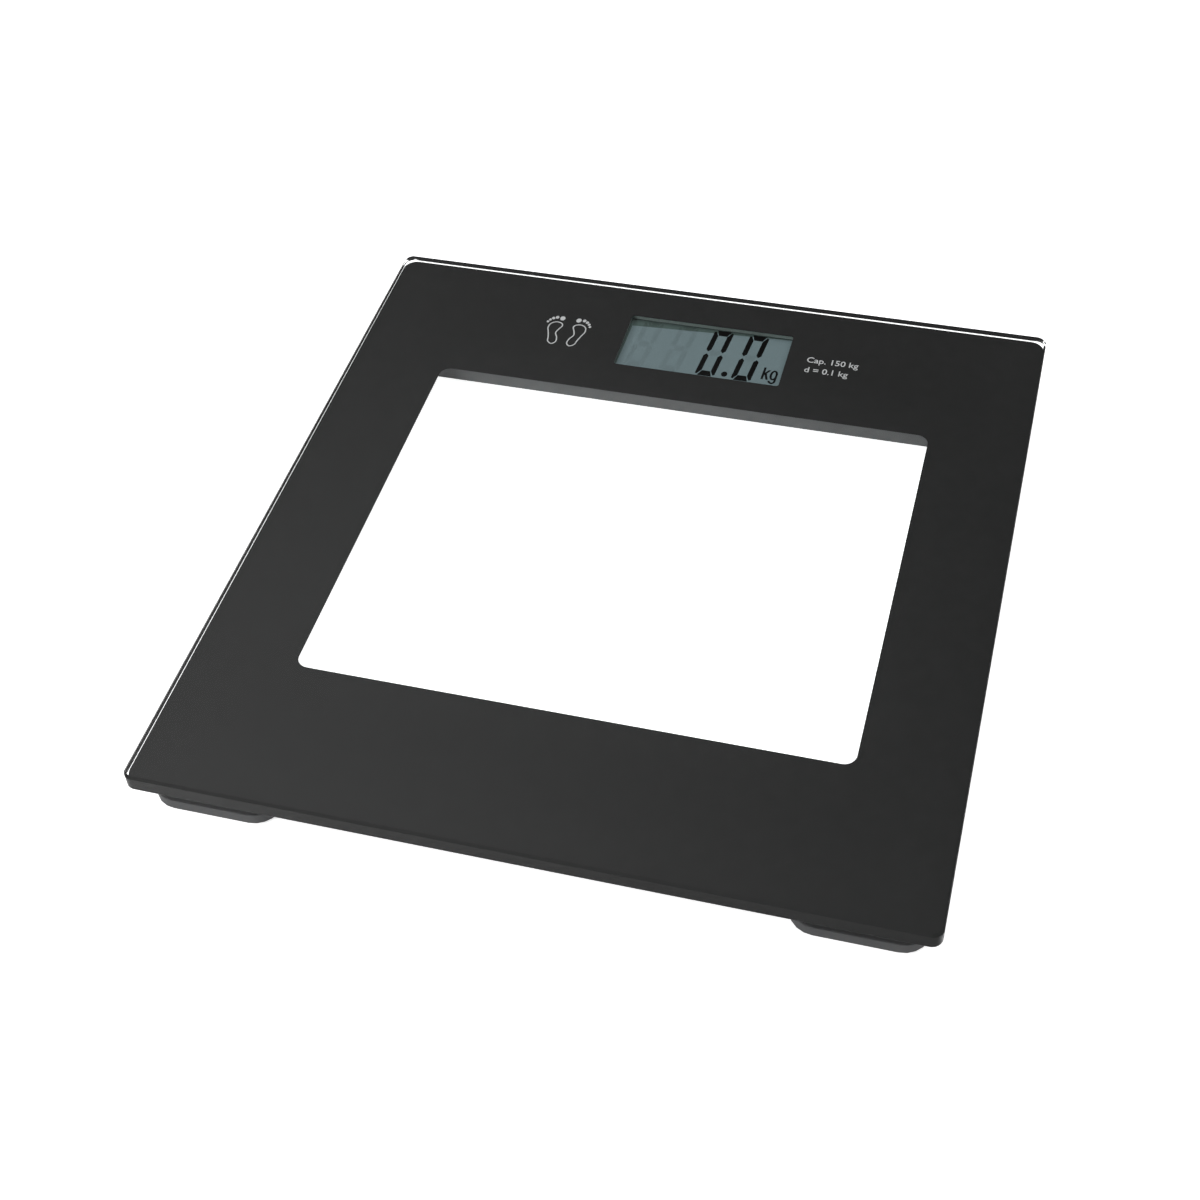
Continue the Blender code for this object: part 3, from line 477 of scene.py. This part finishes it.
def level_ring(width, depth, radius, z, segments, centre=(0, 0)):
    """A rounded rectangle at a height."""
    return [(x, y, z) for x, y in rounded_rectangle(width, depth, radius, segments, centre)]


def ellipse(centre, rx, ry, turn=0.0, steps=20):
    """Outline points of an ellipse turned by some degrees."""
    c, s = math.cos(math.radians(turn)), math.sin(math.radians(turn))
    points = []
    for k in range(steps):
        angle = 2 * math.pi * k / steps
        x, y = rx * math.cos(angle), ry * math.sin(angle)
        points.append((centre[0] + c * x - s * y, centre[1] + s * x + c * y))
    return points


def arc(centre, rx, ry, start, end, steps):
    """Points along an elliptical arc between two angles in degrees."""
    angles = [math.radians(start + (end - start) * k / steps) for k in range(steps + 1)]
    return [(centre[0] + rx * math.cos(a), centre[1] + ry * math.sin(a)) for a in angles]


def skin(name, rings):
    """A closed solid over rings of equal point counts, capped at both ends."""
    bm = bmesh.new()
    loops = [[bm.verts.new(point) for point in ring] for ring in rings]
    for low, high in zip(loops, loops[1:]):
        for i in range(len(low)):
            j = (i + 1) % len(low)
            bm.faces.new((low[i], low[j], high[j], high[i]))
    bm.faces.new(loops[0])
    bm.faces.new(loops[-1])
    return mesh_from(bm, name)


def rounding(radius, z, outward, steps):
    """(inset, height) points of a quarter-round edge; outward 1 rises from z, -1 ends at z."""
    points = []
    for k in range(steps + 1):
        angle = math.radians(90) * k / steps
        points.append((radius * (1 - math.sin(angle)), z + radius * (1 - math.cos(angle))))
    if outward < 0:
        points = [(inset, 2 * z - height) for inset, height in reversed(points)]
    return points


def flat_solid(name, loops, bottom, top):
    """Flat plates between two heights, one for each loop; a loop inside another is a hole."""
    curve = bpy.data.curves.new(name, "CURVE")
    curve.dimensions = "2D"
    curve.fill_mode = "BOTH"
    curve.extrude = (top - bottom) / 2
    for loop in loops:
        spline = curve.splines.new("POLY")
        spline.points.add(len(loop) - 1)
        for point, (x, y) in zip(spline.points, loop):
            point.co = (x, y, 0, 1)
        spline.use_cyclic_u = True
    return mesh_of(curve, name, (top + bottom) / 2)


def mesh_of(curve, name, height):
    """The welded mesh of a curve or text, lifted to a height."""
    source = bpy.data.objects.new(name, curve)
    bpy.context.scene.collection.objects.link(source)
    graph = bpy.context.evaluated_depsgraph_get()
    mesh = bpy.data.meshes.new_from_object(source.evaluated_get(graph))
    bpy.data.objects.remove(source)
    bm = bmesh.new()
    bm.from_mesh(mesh)
    bmesh.ops.remove_doubles(bm, verts=bm.verts[:], dist=OUTLINE_WELD)
    bmesh.ops.translate(bm, verts=bm.verts[:], vec=(0, 0, height))
    bmesh.ops.recalc_face_normals(bm, faces=bm.faces[:])
    bm.to_mesh(mesh)
    bm.free()
    return mesh


def underside_outline(bm):
    """The sharp edges of the outer loop round a part's lowest flat face."""
    low = min(vertex.co.z for vertex in bm.verts)
    sharp = [
        edge for edge in bm.edges
        if edge.calc_face_angle(0.0) > SHARP
        and all(vertex.co.z - low < SEAM for vertex in edge.verts)
    ]
    reached = {min((v for edge in sharp for v in edge.verts), key=lambda v: v.co.x)}
    loop = set()
    grown = True
    while grown:
        grown = [e for e in sharp if e not in loop and reached.intersection(e.verts)]
        loop.update(grown)
        reached.update(v for edge in grown for v in edge.verts)
    return loop


def softened_copy(node, name, paint, width, segments, body="platform", outline=False):
    """Replaces a CAD node by a copy with its sharp edges, or its lower outline, rounded."""
    bm = bmesh.new()
    bm.from_mesh(NODES[node].data)
    bmesh.ops.remove_doubles(bm, verts=bm.verts[:], dist=CAD_WELD)
    bmesh.ops.dissolve_limit(bm, angle_limit=FLAT, verts=bm.verts[:], edges=bm.edges[:])
    if outline:
        weight = bm.edges.layers.float.new("bevel_weight_edge")
        for edge in underside_outline(bm):
            edge[weight] = 1.0
    piece = add_piece(name, mesh_from(bm, name), paint, body, last=False)
    bevel = piece.modifiers.new("rounded_edges", "BEVEL")
    bevel.width = width
    bevel.segments = segments
    bevel.limit_method = "WEIGHT" if outline else "ANGLE"
    bevel.angle_limit = SHARP
    seams = piece.modifiers.new("closed_seams", "WELD")
    seams.merge_threshold = SEAM
    weight_normals(piece)
    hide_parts(node)


# ------------------------------------------------------------------ platform
GLASS_LOW, GLASS_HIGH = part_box("glass_platform")
GLASS_BOTTOM, GLASS_TOP = GLASS_LOW.z, GLASS_HIGH.z
GLASS_WIDTH = GLASS_HIGH.x - GLASS_LOW.x
GLASS_DEPTH = GLASS_HIGH.y - GLASS_LOW.y
GLASS_RADIUS = 4.2 * MM
TOP_CHAMFER = 0.92 * MM
EASE = 0.08 * MM
EASE_RISE = 0.025 * MM
LOWER_ROUND = 0.5 * MM
PRINT_EDGE = 0.62 * MM
PRINT_EDGE_LEFT = 0.29 * MM
PRINT_RADIUS = 6.0 * MM
CONTACT = 0.01 * MM
WINDOW_WIDTH = 217.4 * MM
WINDOW_FRONT = -92.9 * MM
WINDOW_BACK = 88.9 * MM
WINDOW_RADIUS = 5.0 * MM
DISPLAY = (2.7 * MM, 124.8 * MM)
DISPLAY_SIZE = (74.5 * MM, 35.0 * MM)
DISPLAY_RADIUS = 1.2 * MM


def make_plate():
    """The toughened glass: a rounded lower edge and a chamfered top edge, both polished."""
    chamfer_foot = GLASS_TOP - TOP_CHAMFER
    profile = rounding(LOWER_ROUND, GLASS_BOTTOM, 1, 5)
    profile += [(0, chamfer_foot - EASE), (EASE_RISE, chamfer_foot)]
    profile += [(TOP_CHAMFER, GLASS_TOP - EASE_RISE), (TOP_CHAMFER + EASE, GLASS_TOP)]
    rings = [
        level_ring(GLASS_WIDTH - 2 * inset, GLASS_DEPTH - 2 * inset, GLASS_RADIUS - inset, z, 14)
        for inset, z in profile
    ]
    glass = add_piece(
        "platform_glass", skin("platform_glass", rings), "glass", smooth=28.0
    )
    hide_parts("glass_platform")


def make_print():
    """The black print in contact with the glass, clear at its rim and two windows."""
    outer = rounded_rectangle(
        GLASS_WIDTH - PRINT_EDGE - PRINT_EDGE_LEFT, GLASS_DEPTH - 2 * PRINT_EDGE,
        PRINT_RADIUS, 14, ((PRINT_EDGE_LEFT - PRINT_EDGE) / 2, 0),
    )
    window = rounded_rectangle(
        WINDOW_WIDTH, WINDOW_BACK - WINDOW_FRONT, WINDOW_RADIUS, 12,
        (0, (WINDOW_BACK + WINDOW_FRONT) / 2),
    )
    opening = rounded_rectangle(*DISPLAY_SIZE, DISPLAY_RADIUS, 5, DISPLAY)
    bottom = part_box("border_print")[0].z
    mesh = flat_solid("printed_border", [outer, window, opening], bottom, GLASS_BOTTOM + CONTACT)
    ink = add_piece("printed_border", mesh, ("ink", "ink_back"))
    for face in mesh.polygons:
        face.material_index = 0 if face.normal.z > 0.5 else 1
    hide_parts("border_print")


make_plate()
make_print()

# ------------------------------------------------------------------ marks on the glass
MARK_TOP = GLASS_BOTTOM + 3 * CONTACT
MARK_THICKNESS = 0.015 * MM
TEXT_SIZE = 5.1 * MM
TEXT_STRETCH = 0.94
TEXT_BOLD = 0.008
# Each line's words and the left end of its base line.
TEXT = {
    "capacity_line": ("Cap. 150 kg", (48.7 * MM, 126.1 * MM)),
    "division_line": ("d = 0.1 kg", (48.8 * MM, 119.3 * MM)),
}
# A pair of bare soles. Outline and toes are in lengths of a sole, for the right foot;
# a toe is (x, y, radius).
SOLES = (-61.5 * MM, 122.8 * MM)
SOLE_LENGTH = 17.0 * MM
SOLE_SPREAD = 5.2 * MM
SOLE_LINE = 0.55 * MM
FOOT_TURN = 7.0
TOE_OVAL = 1.25
SOLE = (
    (-0.17, 0.40), (-0.02, 0.46), (0.14, 0.38), (0.20, 0.20), (0.165, 0.0), (0.135, -0.20),
    (0.12, -0.38), (0.0, -0.49), (-0.12, -0.39), (-0.125, -0.20), (-0.07, -0.02),
    (-0.13, 0.14), (-0.205, 0.28),
)
TOES = (
    (-0.155, 0.600, 0.070), (-0.005, 0.635, 0.048), (0.095, 0.592, 0.043),
    (0.172, 0.525, 0.038), (0.226, 0.440, 0.034),
)


def make_text(name, words, place):
    """A line of plain bold lettering as a thin solid."""
    curve = bpy.data.curves.new(name, "FONT")
    curve.body = words
    curve.size = TEXT_SIZE
    curve.offset = TEXT_BOLD * TEXT_SIZE
    curve.extrude = MARK_THICKNESS / 2
    curve.resolution_u = 4
    mesh = mesh_of(curve, name, MARK_TOP - MARK_THICKNESS / 2)
    mesh.transform(Matrix.Translation((*place, 0)) @ Matrix.Diagonal((TEXT_STRETCH, 1, 1, 1)))
    add_piece(name, mesh, "mark")


def foot_point(side, x, y):
    """A point of a sole in the mark's plane, with the foot turned a little outwards."""
    turn = -side * math.radians(FOOT_TURN)
    c, s = math.cos(turn), math.sin(turn)
    x, y = side * x * SOLE_LENGTH, y * SOLE_LENGTH
    return (SOLES[0] + side * SOLE_SPREAD + c * x - s * y, SOLES[1] + s * x + c * y)


def sole(side, inset=0.0):
    """Smooth outline of a bare sole without toes; side -1 or 1 picks the foot."""
    curve = []
    count = len(SOLE)
    for i in range(count):
        a, b, c, d = (Vector(SOLE[(i + k) % count]) for k in range(-1, 3))
        for t in (0.0, 0.25, 0.5, 0.75):
            curve.append(
                0.5 * (2 * b + (c - a) * t + (2 * a - 5 * b + 4 * c - d) * t ** 2
                       + (3 * b - a - 3 * c + d) * t ** 3)
            )
    points = []
    for i, point in enumerate(curve):
        along = (curve[(i + 1) % len(curve)] - curve[i - 1]).normalized()
        inward = Vector((along.y, -along.x))
        points.append(foot_point(side, *(point + inward * inset / SOLE_LENGTH)))
    return points


def make_mark(name, loops):
    """One flat printed shape on the glass."""
    mesh = flat_solid(name, loops, MARK_TOP - MARK_THICKNESS, MARK_TOP)
    add_piece(name, mesh, "mark")


def make_marks():
    """The capacity lines right of the display and a pair of soles left of it."""
    for name, (words, place) in TEXT.items():
        make_text(name, words, place)
    for side, label in ((-1, "left"), (1, "right")):
        make_mark(f"{label}_sole_mark", [sole(side), sole(side, SOLE_LINE)])
        for toe, (x, y, radius) in enumerate(TOES):
            wide = radius * SOLE_LENGTH
            oval = ellipse(foot_point(side, x, y), wide, TOE_OVAL * wide, -side * FOOT_TURN)
            make_mark(f"{label}_toe_mark_{toe + 1}", [oval])


make_marks()

# ------------------------------------------------------------------ display
LCD_LOW, LCD_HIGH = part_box("lcd_glass")
CELL_EDGE = 0.1 * MM
CELL_RADIUS = 0.4 * MM
FILM_BOTTOM = LCD_HIGH.z - 0.20 * MM
FILM_TOP = LCD_HIGH.z - 0.06 * MM
SEGMENT_TOP = LCD_HIGH.z - 0.02 * MM
# The polariser stops a little short of the cell's back edge, and not quite parallel to it.
FILM = (
    (-34.4 * MM, 105.2 * MM), (42.0 * MM, 105.2 * MM), (42.0 * MM, 142.6 * MM),
    (-33.8 * MM, 138.0 * MM),
)
DIGIT_CENTRE_Y = 126.45 * MM
DIGIT_HEIGHT = 32.0 * MM
DIGIT_WIDTH = 8.85 * MM
DIGIT_PITCH = 16.3 * MM
FIRST_DIGIT_X = 7.2 * MM
DIGIT_LEAN = 0.084
BAR_WIDE = 2.3 * MM
BAR_TALL = 3.5 * MM
BAR_GAP = 0.22 * MM
# How far the upright bars' shoulders and tips stay from the middle, in bar heights.
BAR_SHOULDER = 0.62
BAR_TIP = 0.21
# Cuts at the ends of the bars, in bar widths.
CORNER_CUT = 0.45
MIDDLE_CUT = 0.75
DOT = (14.5 * MM, 113.3 * MM)
DOT_RADII = (1.35 * MM, 1.75 * MM)
UNIT_FOOT = (31.27 * MM, 113.5 * MM)
UNIT_LEAN = 0.03


def digit_bars(centre_x):
    """Outlines of the seven bars of a leaning digit, keyed a to g."""
    half, tall = DIGIT_WIDTH / 2, DIGIT_HEIGHT / 2
    w, t, g = BAR_WIDE, BAR_TALL, BAR_GAP
    corner = CORNER_CUT * w
    flat = {
        "a": [(-half + corner + g, tall), (half - corner - g, tall),
              (half - w - g, tall - t), (-half + w + g, tall - t)],
        "f": [(-half, tall - corner - g), (-half + corner * 0.8, tall - corner * 0.6 - g),
              (-half + w, tall - t - g), (-half + w, BAR_SHOULDER * t),
              (-half + w / 2, BAR_TIP * t), (-half, BAR_SHOULDER * t)],
        "g": [(-half + w * MIDDLE_CUT + g, 0), (-half + w + g, t / 2), (half - w - g, t / 2),
              (half - w * MIDDLE_CUT - g, 0), (half - w - g, -t / 2), (-half + w + g, -t / 2)],
    }
    flat["d"] = [(x, -y) for x, y in flat["a"]]
    flat["e"] = [(x, -y) for x, y in flat["f"]]
    flat["b"] = [(-x, y) for x, y in flat["f"]]
    flat["c"] = [(-x, -y) for x, y in flat["f"]]
    return {
        key: [(centre_x + x + DIGIT_LEAN * y, DIGIT_CENTRE_Y + y) for x, y in bar]
        for key, bar in flat.items()
    }


def make_segments(name, loops, paint):
    """Thin shapes on the polariser, in one piece."""
    add_piece(name, flat_solid(name, loops, FILM_TOP, SEGMENT_TOP), paint)


def make_bars(name, centre_x, keys, paint):
    """Some of the bars of the digit at a place."""
    bars = digit_bars(centre_x)
    make_segments(name, [bars[key] for key in keys], paint)


def unit_outlines():
    """The two letters of the unit, in mm from the foot of the first one's stem."""
    tall_letter = [
        (-0.5, 0.0), (-0.5, 8.1), (0.5, 8.1), (0.5, 4.4), (1.85, 6.6), (2.95, 6.6),
        (1.45, 4.25), (2.75, 0.0), (1.7, 0.0), (0.75, 3.2), (0.5, 2.8), (0.5, 0.0),
    ]
    bowl, hook = (4.7, 3.5), (4.62, -0.5)
    round_letter = (
        arc(bowl, 1.75, 3.35, 19.5, 293.2, 28)
        + arc(hook, 0.77, 0.95, 0, -180, 14)
        + arc(hook, 1.73, 1.95, -180, 0, 20)
    )
    return [tall_letter, round_letter, arc(bowl, 0.75, 2.35, 0, 345, 23)]


def make_cell():
    """The two glass sheets of the liquid crystal cell, as one block with eased edges."""
    width, depth = LCD_HIGH.x - LCD_LOW.x, LCD_HIGH.y - LCD_LOW.y
    middle = ((LCD_HIGH.x + LCD_LOW.x) / 2, (LCD_HIGH.y + LCD_LOW.y) / 2)
    profile = rounding(CELL_EDGE, LCD_LOW.z, 1, 2) + rounding(CELL_EDGE, FILM_BOTTOM, -1, 2)
    rings = [
        level_ring(width - 2 * inset, depth - 2 * inset, CELL_RADIUS, z, 3, middle)
        for inset, z in profile
    ]
    cell = add_piece("display_cell", skin("display_cell", rings), "cell_glass")
    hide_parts("lcd_glass")


def make_display():
    """The liquid crystal cell, its polariser and what it shows."""
    make_cell()
    film = flat_solid("display_film", [FILM], FILM_BOTTOM, FILM_TOP)
    add_piece("display_film", film, "film")
    for i in range(2):
        place = FIRST_DIGIT_X + i * DIGIT_PITCH
        make_bars(f"digit_{i + 1}_bars", place, "abcdef", "segment")
        make_bars(f"digit_{i + 1}_unlit_bar", place, "g", "ghost")
        make_bars(f"unlit_digit_{i + 1}", place - 2 * DIGIT_PITCH, "abcdefg", "ghost")
    dot = ellipse(DOT, *DOT_RADII, steps=24)
    make_segments("decimal_point", [dot], "segment")
    unit = [
        [(UNIT_FOOT[0] + (x + UNIT_LEAN * y) * MM, UNIT_FOOT[1] + y * MM) for x, y in outline]
        for outline in unit_outlines()
    ]
    make_segments("unit_text", unit, "segment")


make_display()

# ------------------------------------------------------------------ feet
PAD_RADIUS = 6.3 * MM
PAD_LEAST_RADIUS = 0.3 * MM
PAD_SHOULDER = 0.2 * MM
# (inset, height) in mm, from the middle of the shallow cup out to the pad's side.
PAD_STEPS = (
    (15.5, 0.6), (14.6, 0.6), (14.3, 0.0), (11.6, 0.0), (11.3, 0.35), (9.6, 0.35),
    (9.3, 0.0), (6.6, 0.0), (6.3, 0.35), (4.6, 0.35), (4.3, 0.0), (0.45, 0.0), (0.12, 0.12),
    (0.0, 0.45),
)


def make_pad(corner):
    """A rubber sole with concentric grip ribs moulded round a shallow cup."""
    low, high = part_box(f"foot_pad_{corner}")
    size, centre = high.x - low.x, ((low.x + high.x) / 2, (low.y + high.y) / 2)
    profile = [(inset * MM, z * MM) for inset, z in PAD_STEPS]
    profile += [(0, high.z - PAD_SHOULDER), (PAD_SHOULDER, high.z)]
    rings = []
    for inset, z in profile:
        side, radius = size - 2 * inset, max(PAD_RADIUS - inset, PAD_LEAST_RADIUS)
        rings.append(level_ring(side, side, radius, z, 10, centre))
    name = f"rubber_sole_{corner}"
    pad = add_piece(name, skin(name, rings), "rubber", f"foot_{corner}")
    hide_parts(f"foot_pad_{corner}")


def make_feet():
    """Softened shells, caps and ribbed pads of the four load-cell feet."""
    for corner in CORNERS:
        softened_copy(
            f"foot_holder_{corner}", f"foot_shell_{corner}", "holder",
            0.4 * MM, 3, outline=True,
        )
        softened_copy(
            f"foot_cap_{corner}", f"foot_dish_{corner}", "cap",
            0.8 * MM, 3, body=f"foot_{corner}",
        )
        make_pad(corner)


make_feet()

# ------------------------------------------------------------------ rear housing and ducts
softened_copy(
    "rear_housing", "housing_tray", "housing", 0.4 * MM, 3, outline=True
)
softened_copy(
    "battery_door", "battery_lid", "housing", 0.15 * MM, 2, "door",
    outline=True,
)
softened_copy("unit_button", "unit_key", "cap", 0.2 * MM, 2, "button")
for side in ("left", "right"):
    softened_copy(
        f"wire_duct_{side}", f"duct_cover_{side}", "holder", 0.3 * MM, 2
    )

# ------------------------------------------------------------------ carried-over CAD nodes
CARRIED = {
    "foot_tape": "foam", "load_cell": "steel", "gauge_seal": "silicone", "housing_tape": "foam",
    "coin_battery": "cell", "battery_contact": "contact", "battery_lead": "lead",
    "tact_switch": "epoxy", "circuit_board": "board", "control_chip": "epoxy",
    "lcd_bezel": "bezel", "lcd_reflector": "foil", "zebra_connector": "zebra",
    "display_screw": "screw", "wire_bundle": "wire",
}
for node, part in NODES.items():
    for prefix, paint in CARRIED.items():
        if node.startswith(prefix):
            part.material_slots[0].material = PAINT[paint]

# ------------------------------------------------------------------ floor
FLOOR_HALF = 6.0
FLOOR_TOP = -0.05 * MM
# Its own pale glow, as the camera sees it, through the window, and as it lights the object.
FLOOR_LIFT = 0.8
WINDOW_LIFT = 1.10
UNDER_LIFT = 0.35
# Painted shade that only mirror images show: its grey there, from left to right, over the strip
# in front of the object.
MIRRORED_LEFT = 0.55
MIRRORED_RIGHT = 0.16
MIRRORED_HALF = 0.16
MIRRORED_BACK = -0.150
MIRRORED_FRONT = -0.165


def floor_colour_and_mirrored_shade(finish, path):
    """A pale noise, with painted shade towards the right that only glossy rays see, where glossy
    surfaces mirror its front.
    """
    finish.colour(finish.noise(6.0, 3.0), (0.3, grey(0.86)), (0.7, grey(0.88)))
    axes = finish.node("ShaderNodeSeparateXYZ", Vector=finish.coordinates).outputs
    shade = finish.node(
        "ShaderNodeMapRange", Value=axes["X"], From_Min=-MIRRORED_HALF, From_Max=MIRRORED_HALF,
        To_Min=MIRRORED_LEFT, To_Max=MIRRORED_RIGHT,
    ).outputs[0]
    ahead = finish.node(
        "ShaderNodeMapRange", Value=axes["Y"], From_Min=MIRRORED_BACK, From_Max=MIRRORED_FRONT,
        To_Min=0.0, To_Max=1.0,
    ).outputs[0]
    mirrored = maths(finish.tree, "MULTIPLY", ahead, path["Is Glossy Ray"])
    pale = finish.shader.inputs["Base Color"].links[0].from_socket
    blend = finish.node("ShaderNodeMix")
    blend.data_type = "RGBA"
    finish.link(mirrored, blend.inputs["Factor"])
    finish.link(pale, blend.inputs[6])
    finish.link(shade, blend.inputs[7])
    finish.link(blend.outputs[2], finish.shader.inputs["Base Color"])


def floor_glow(finish, path):
    """The floor's glow, which has its own strength for each kind of ray."""
    glow = maths(finish.tree, "MULTIPLY", path["Is Transmission Ray"], WINDOW_LIFT)
    glow = maths(finish.tree, "MULTIPLY_ADD", path["Is Camera Ray"], FLOOR_LIFT, glow)
    glow = maths(finish.tree, "MULTIPLY_ADD", path["Is Diffuse Ray"], UNDER_LIFT, glow)
    return finish.node("ShaderNodeEmission", Strength=glow).outputs[0]


def make_floor():
    """A pale matt floor that can't be seen from below."""
    bm = bmesh.new()
    corners = ((-1, -1), (1, -1), (1, 1), (-1, 1))
    bm.faces.new([bm.verts.new((x * FLOOR_HALF, y * FLOOR_HALF, FLOOR_TOP)) for x, y in corners])
    mesh = bpy.data.meshes.new("floor")
    bm.to_mesh(mesh)
    bm.free()
    finish = Finish("pale_floor", Roughness=0.9, Specular_IOR_Level=0.1)
    path = finish.node("ShaderNodeLightPath").outputs
    floor_colour_and_mirrored_shade(finish, path)
    lit = finish.node("ShaderNodeAddShader")
    finish.link(finish.shader.outputs[0], lit.inputs[0])
    finish.link(floor_glow(finish, path), lit.inputs[1])
    behind = finish.node("ShaderNodeNewGeometry").outputs["Backfacing"]
    clear = finish.node("ShaderNodeBsdfTransparent")
    finish.surface(behind, lit.outputs[0], clear.outputs[0])
    mesh.materials.append(finish.material)
    floor = bpy.data.objects.new("floor", mesh)
    bpy.context.scene.collection.objects.link(floor)


make_floor()
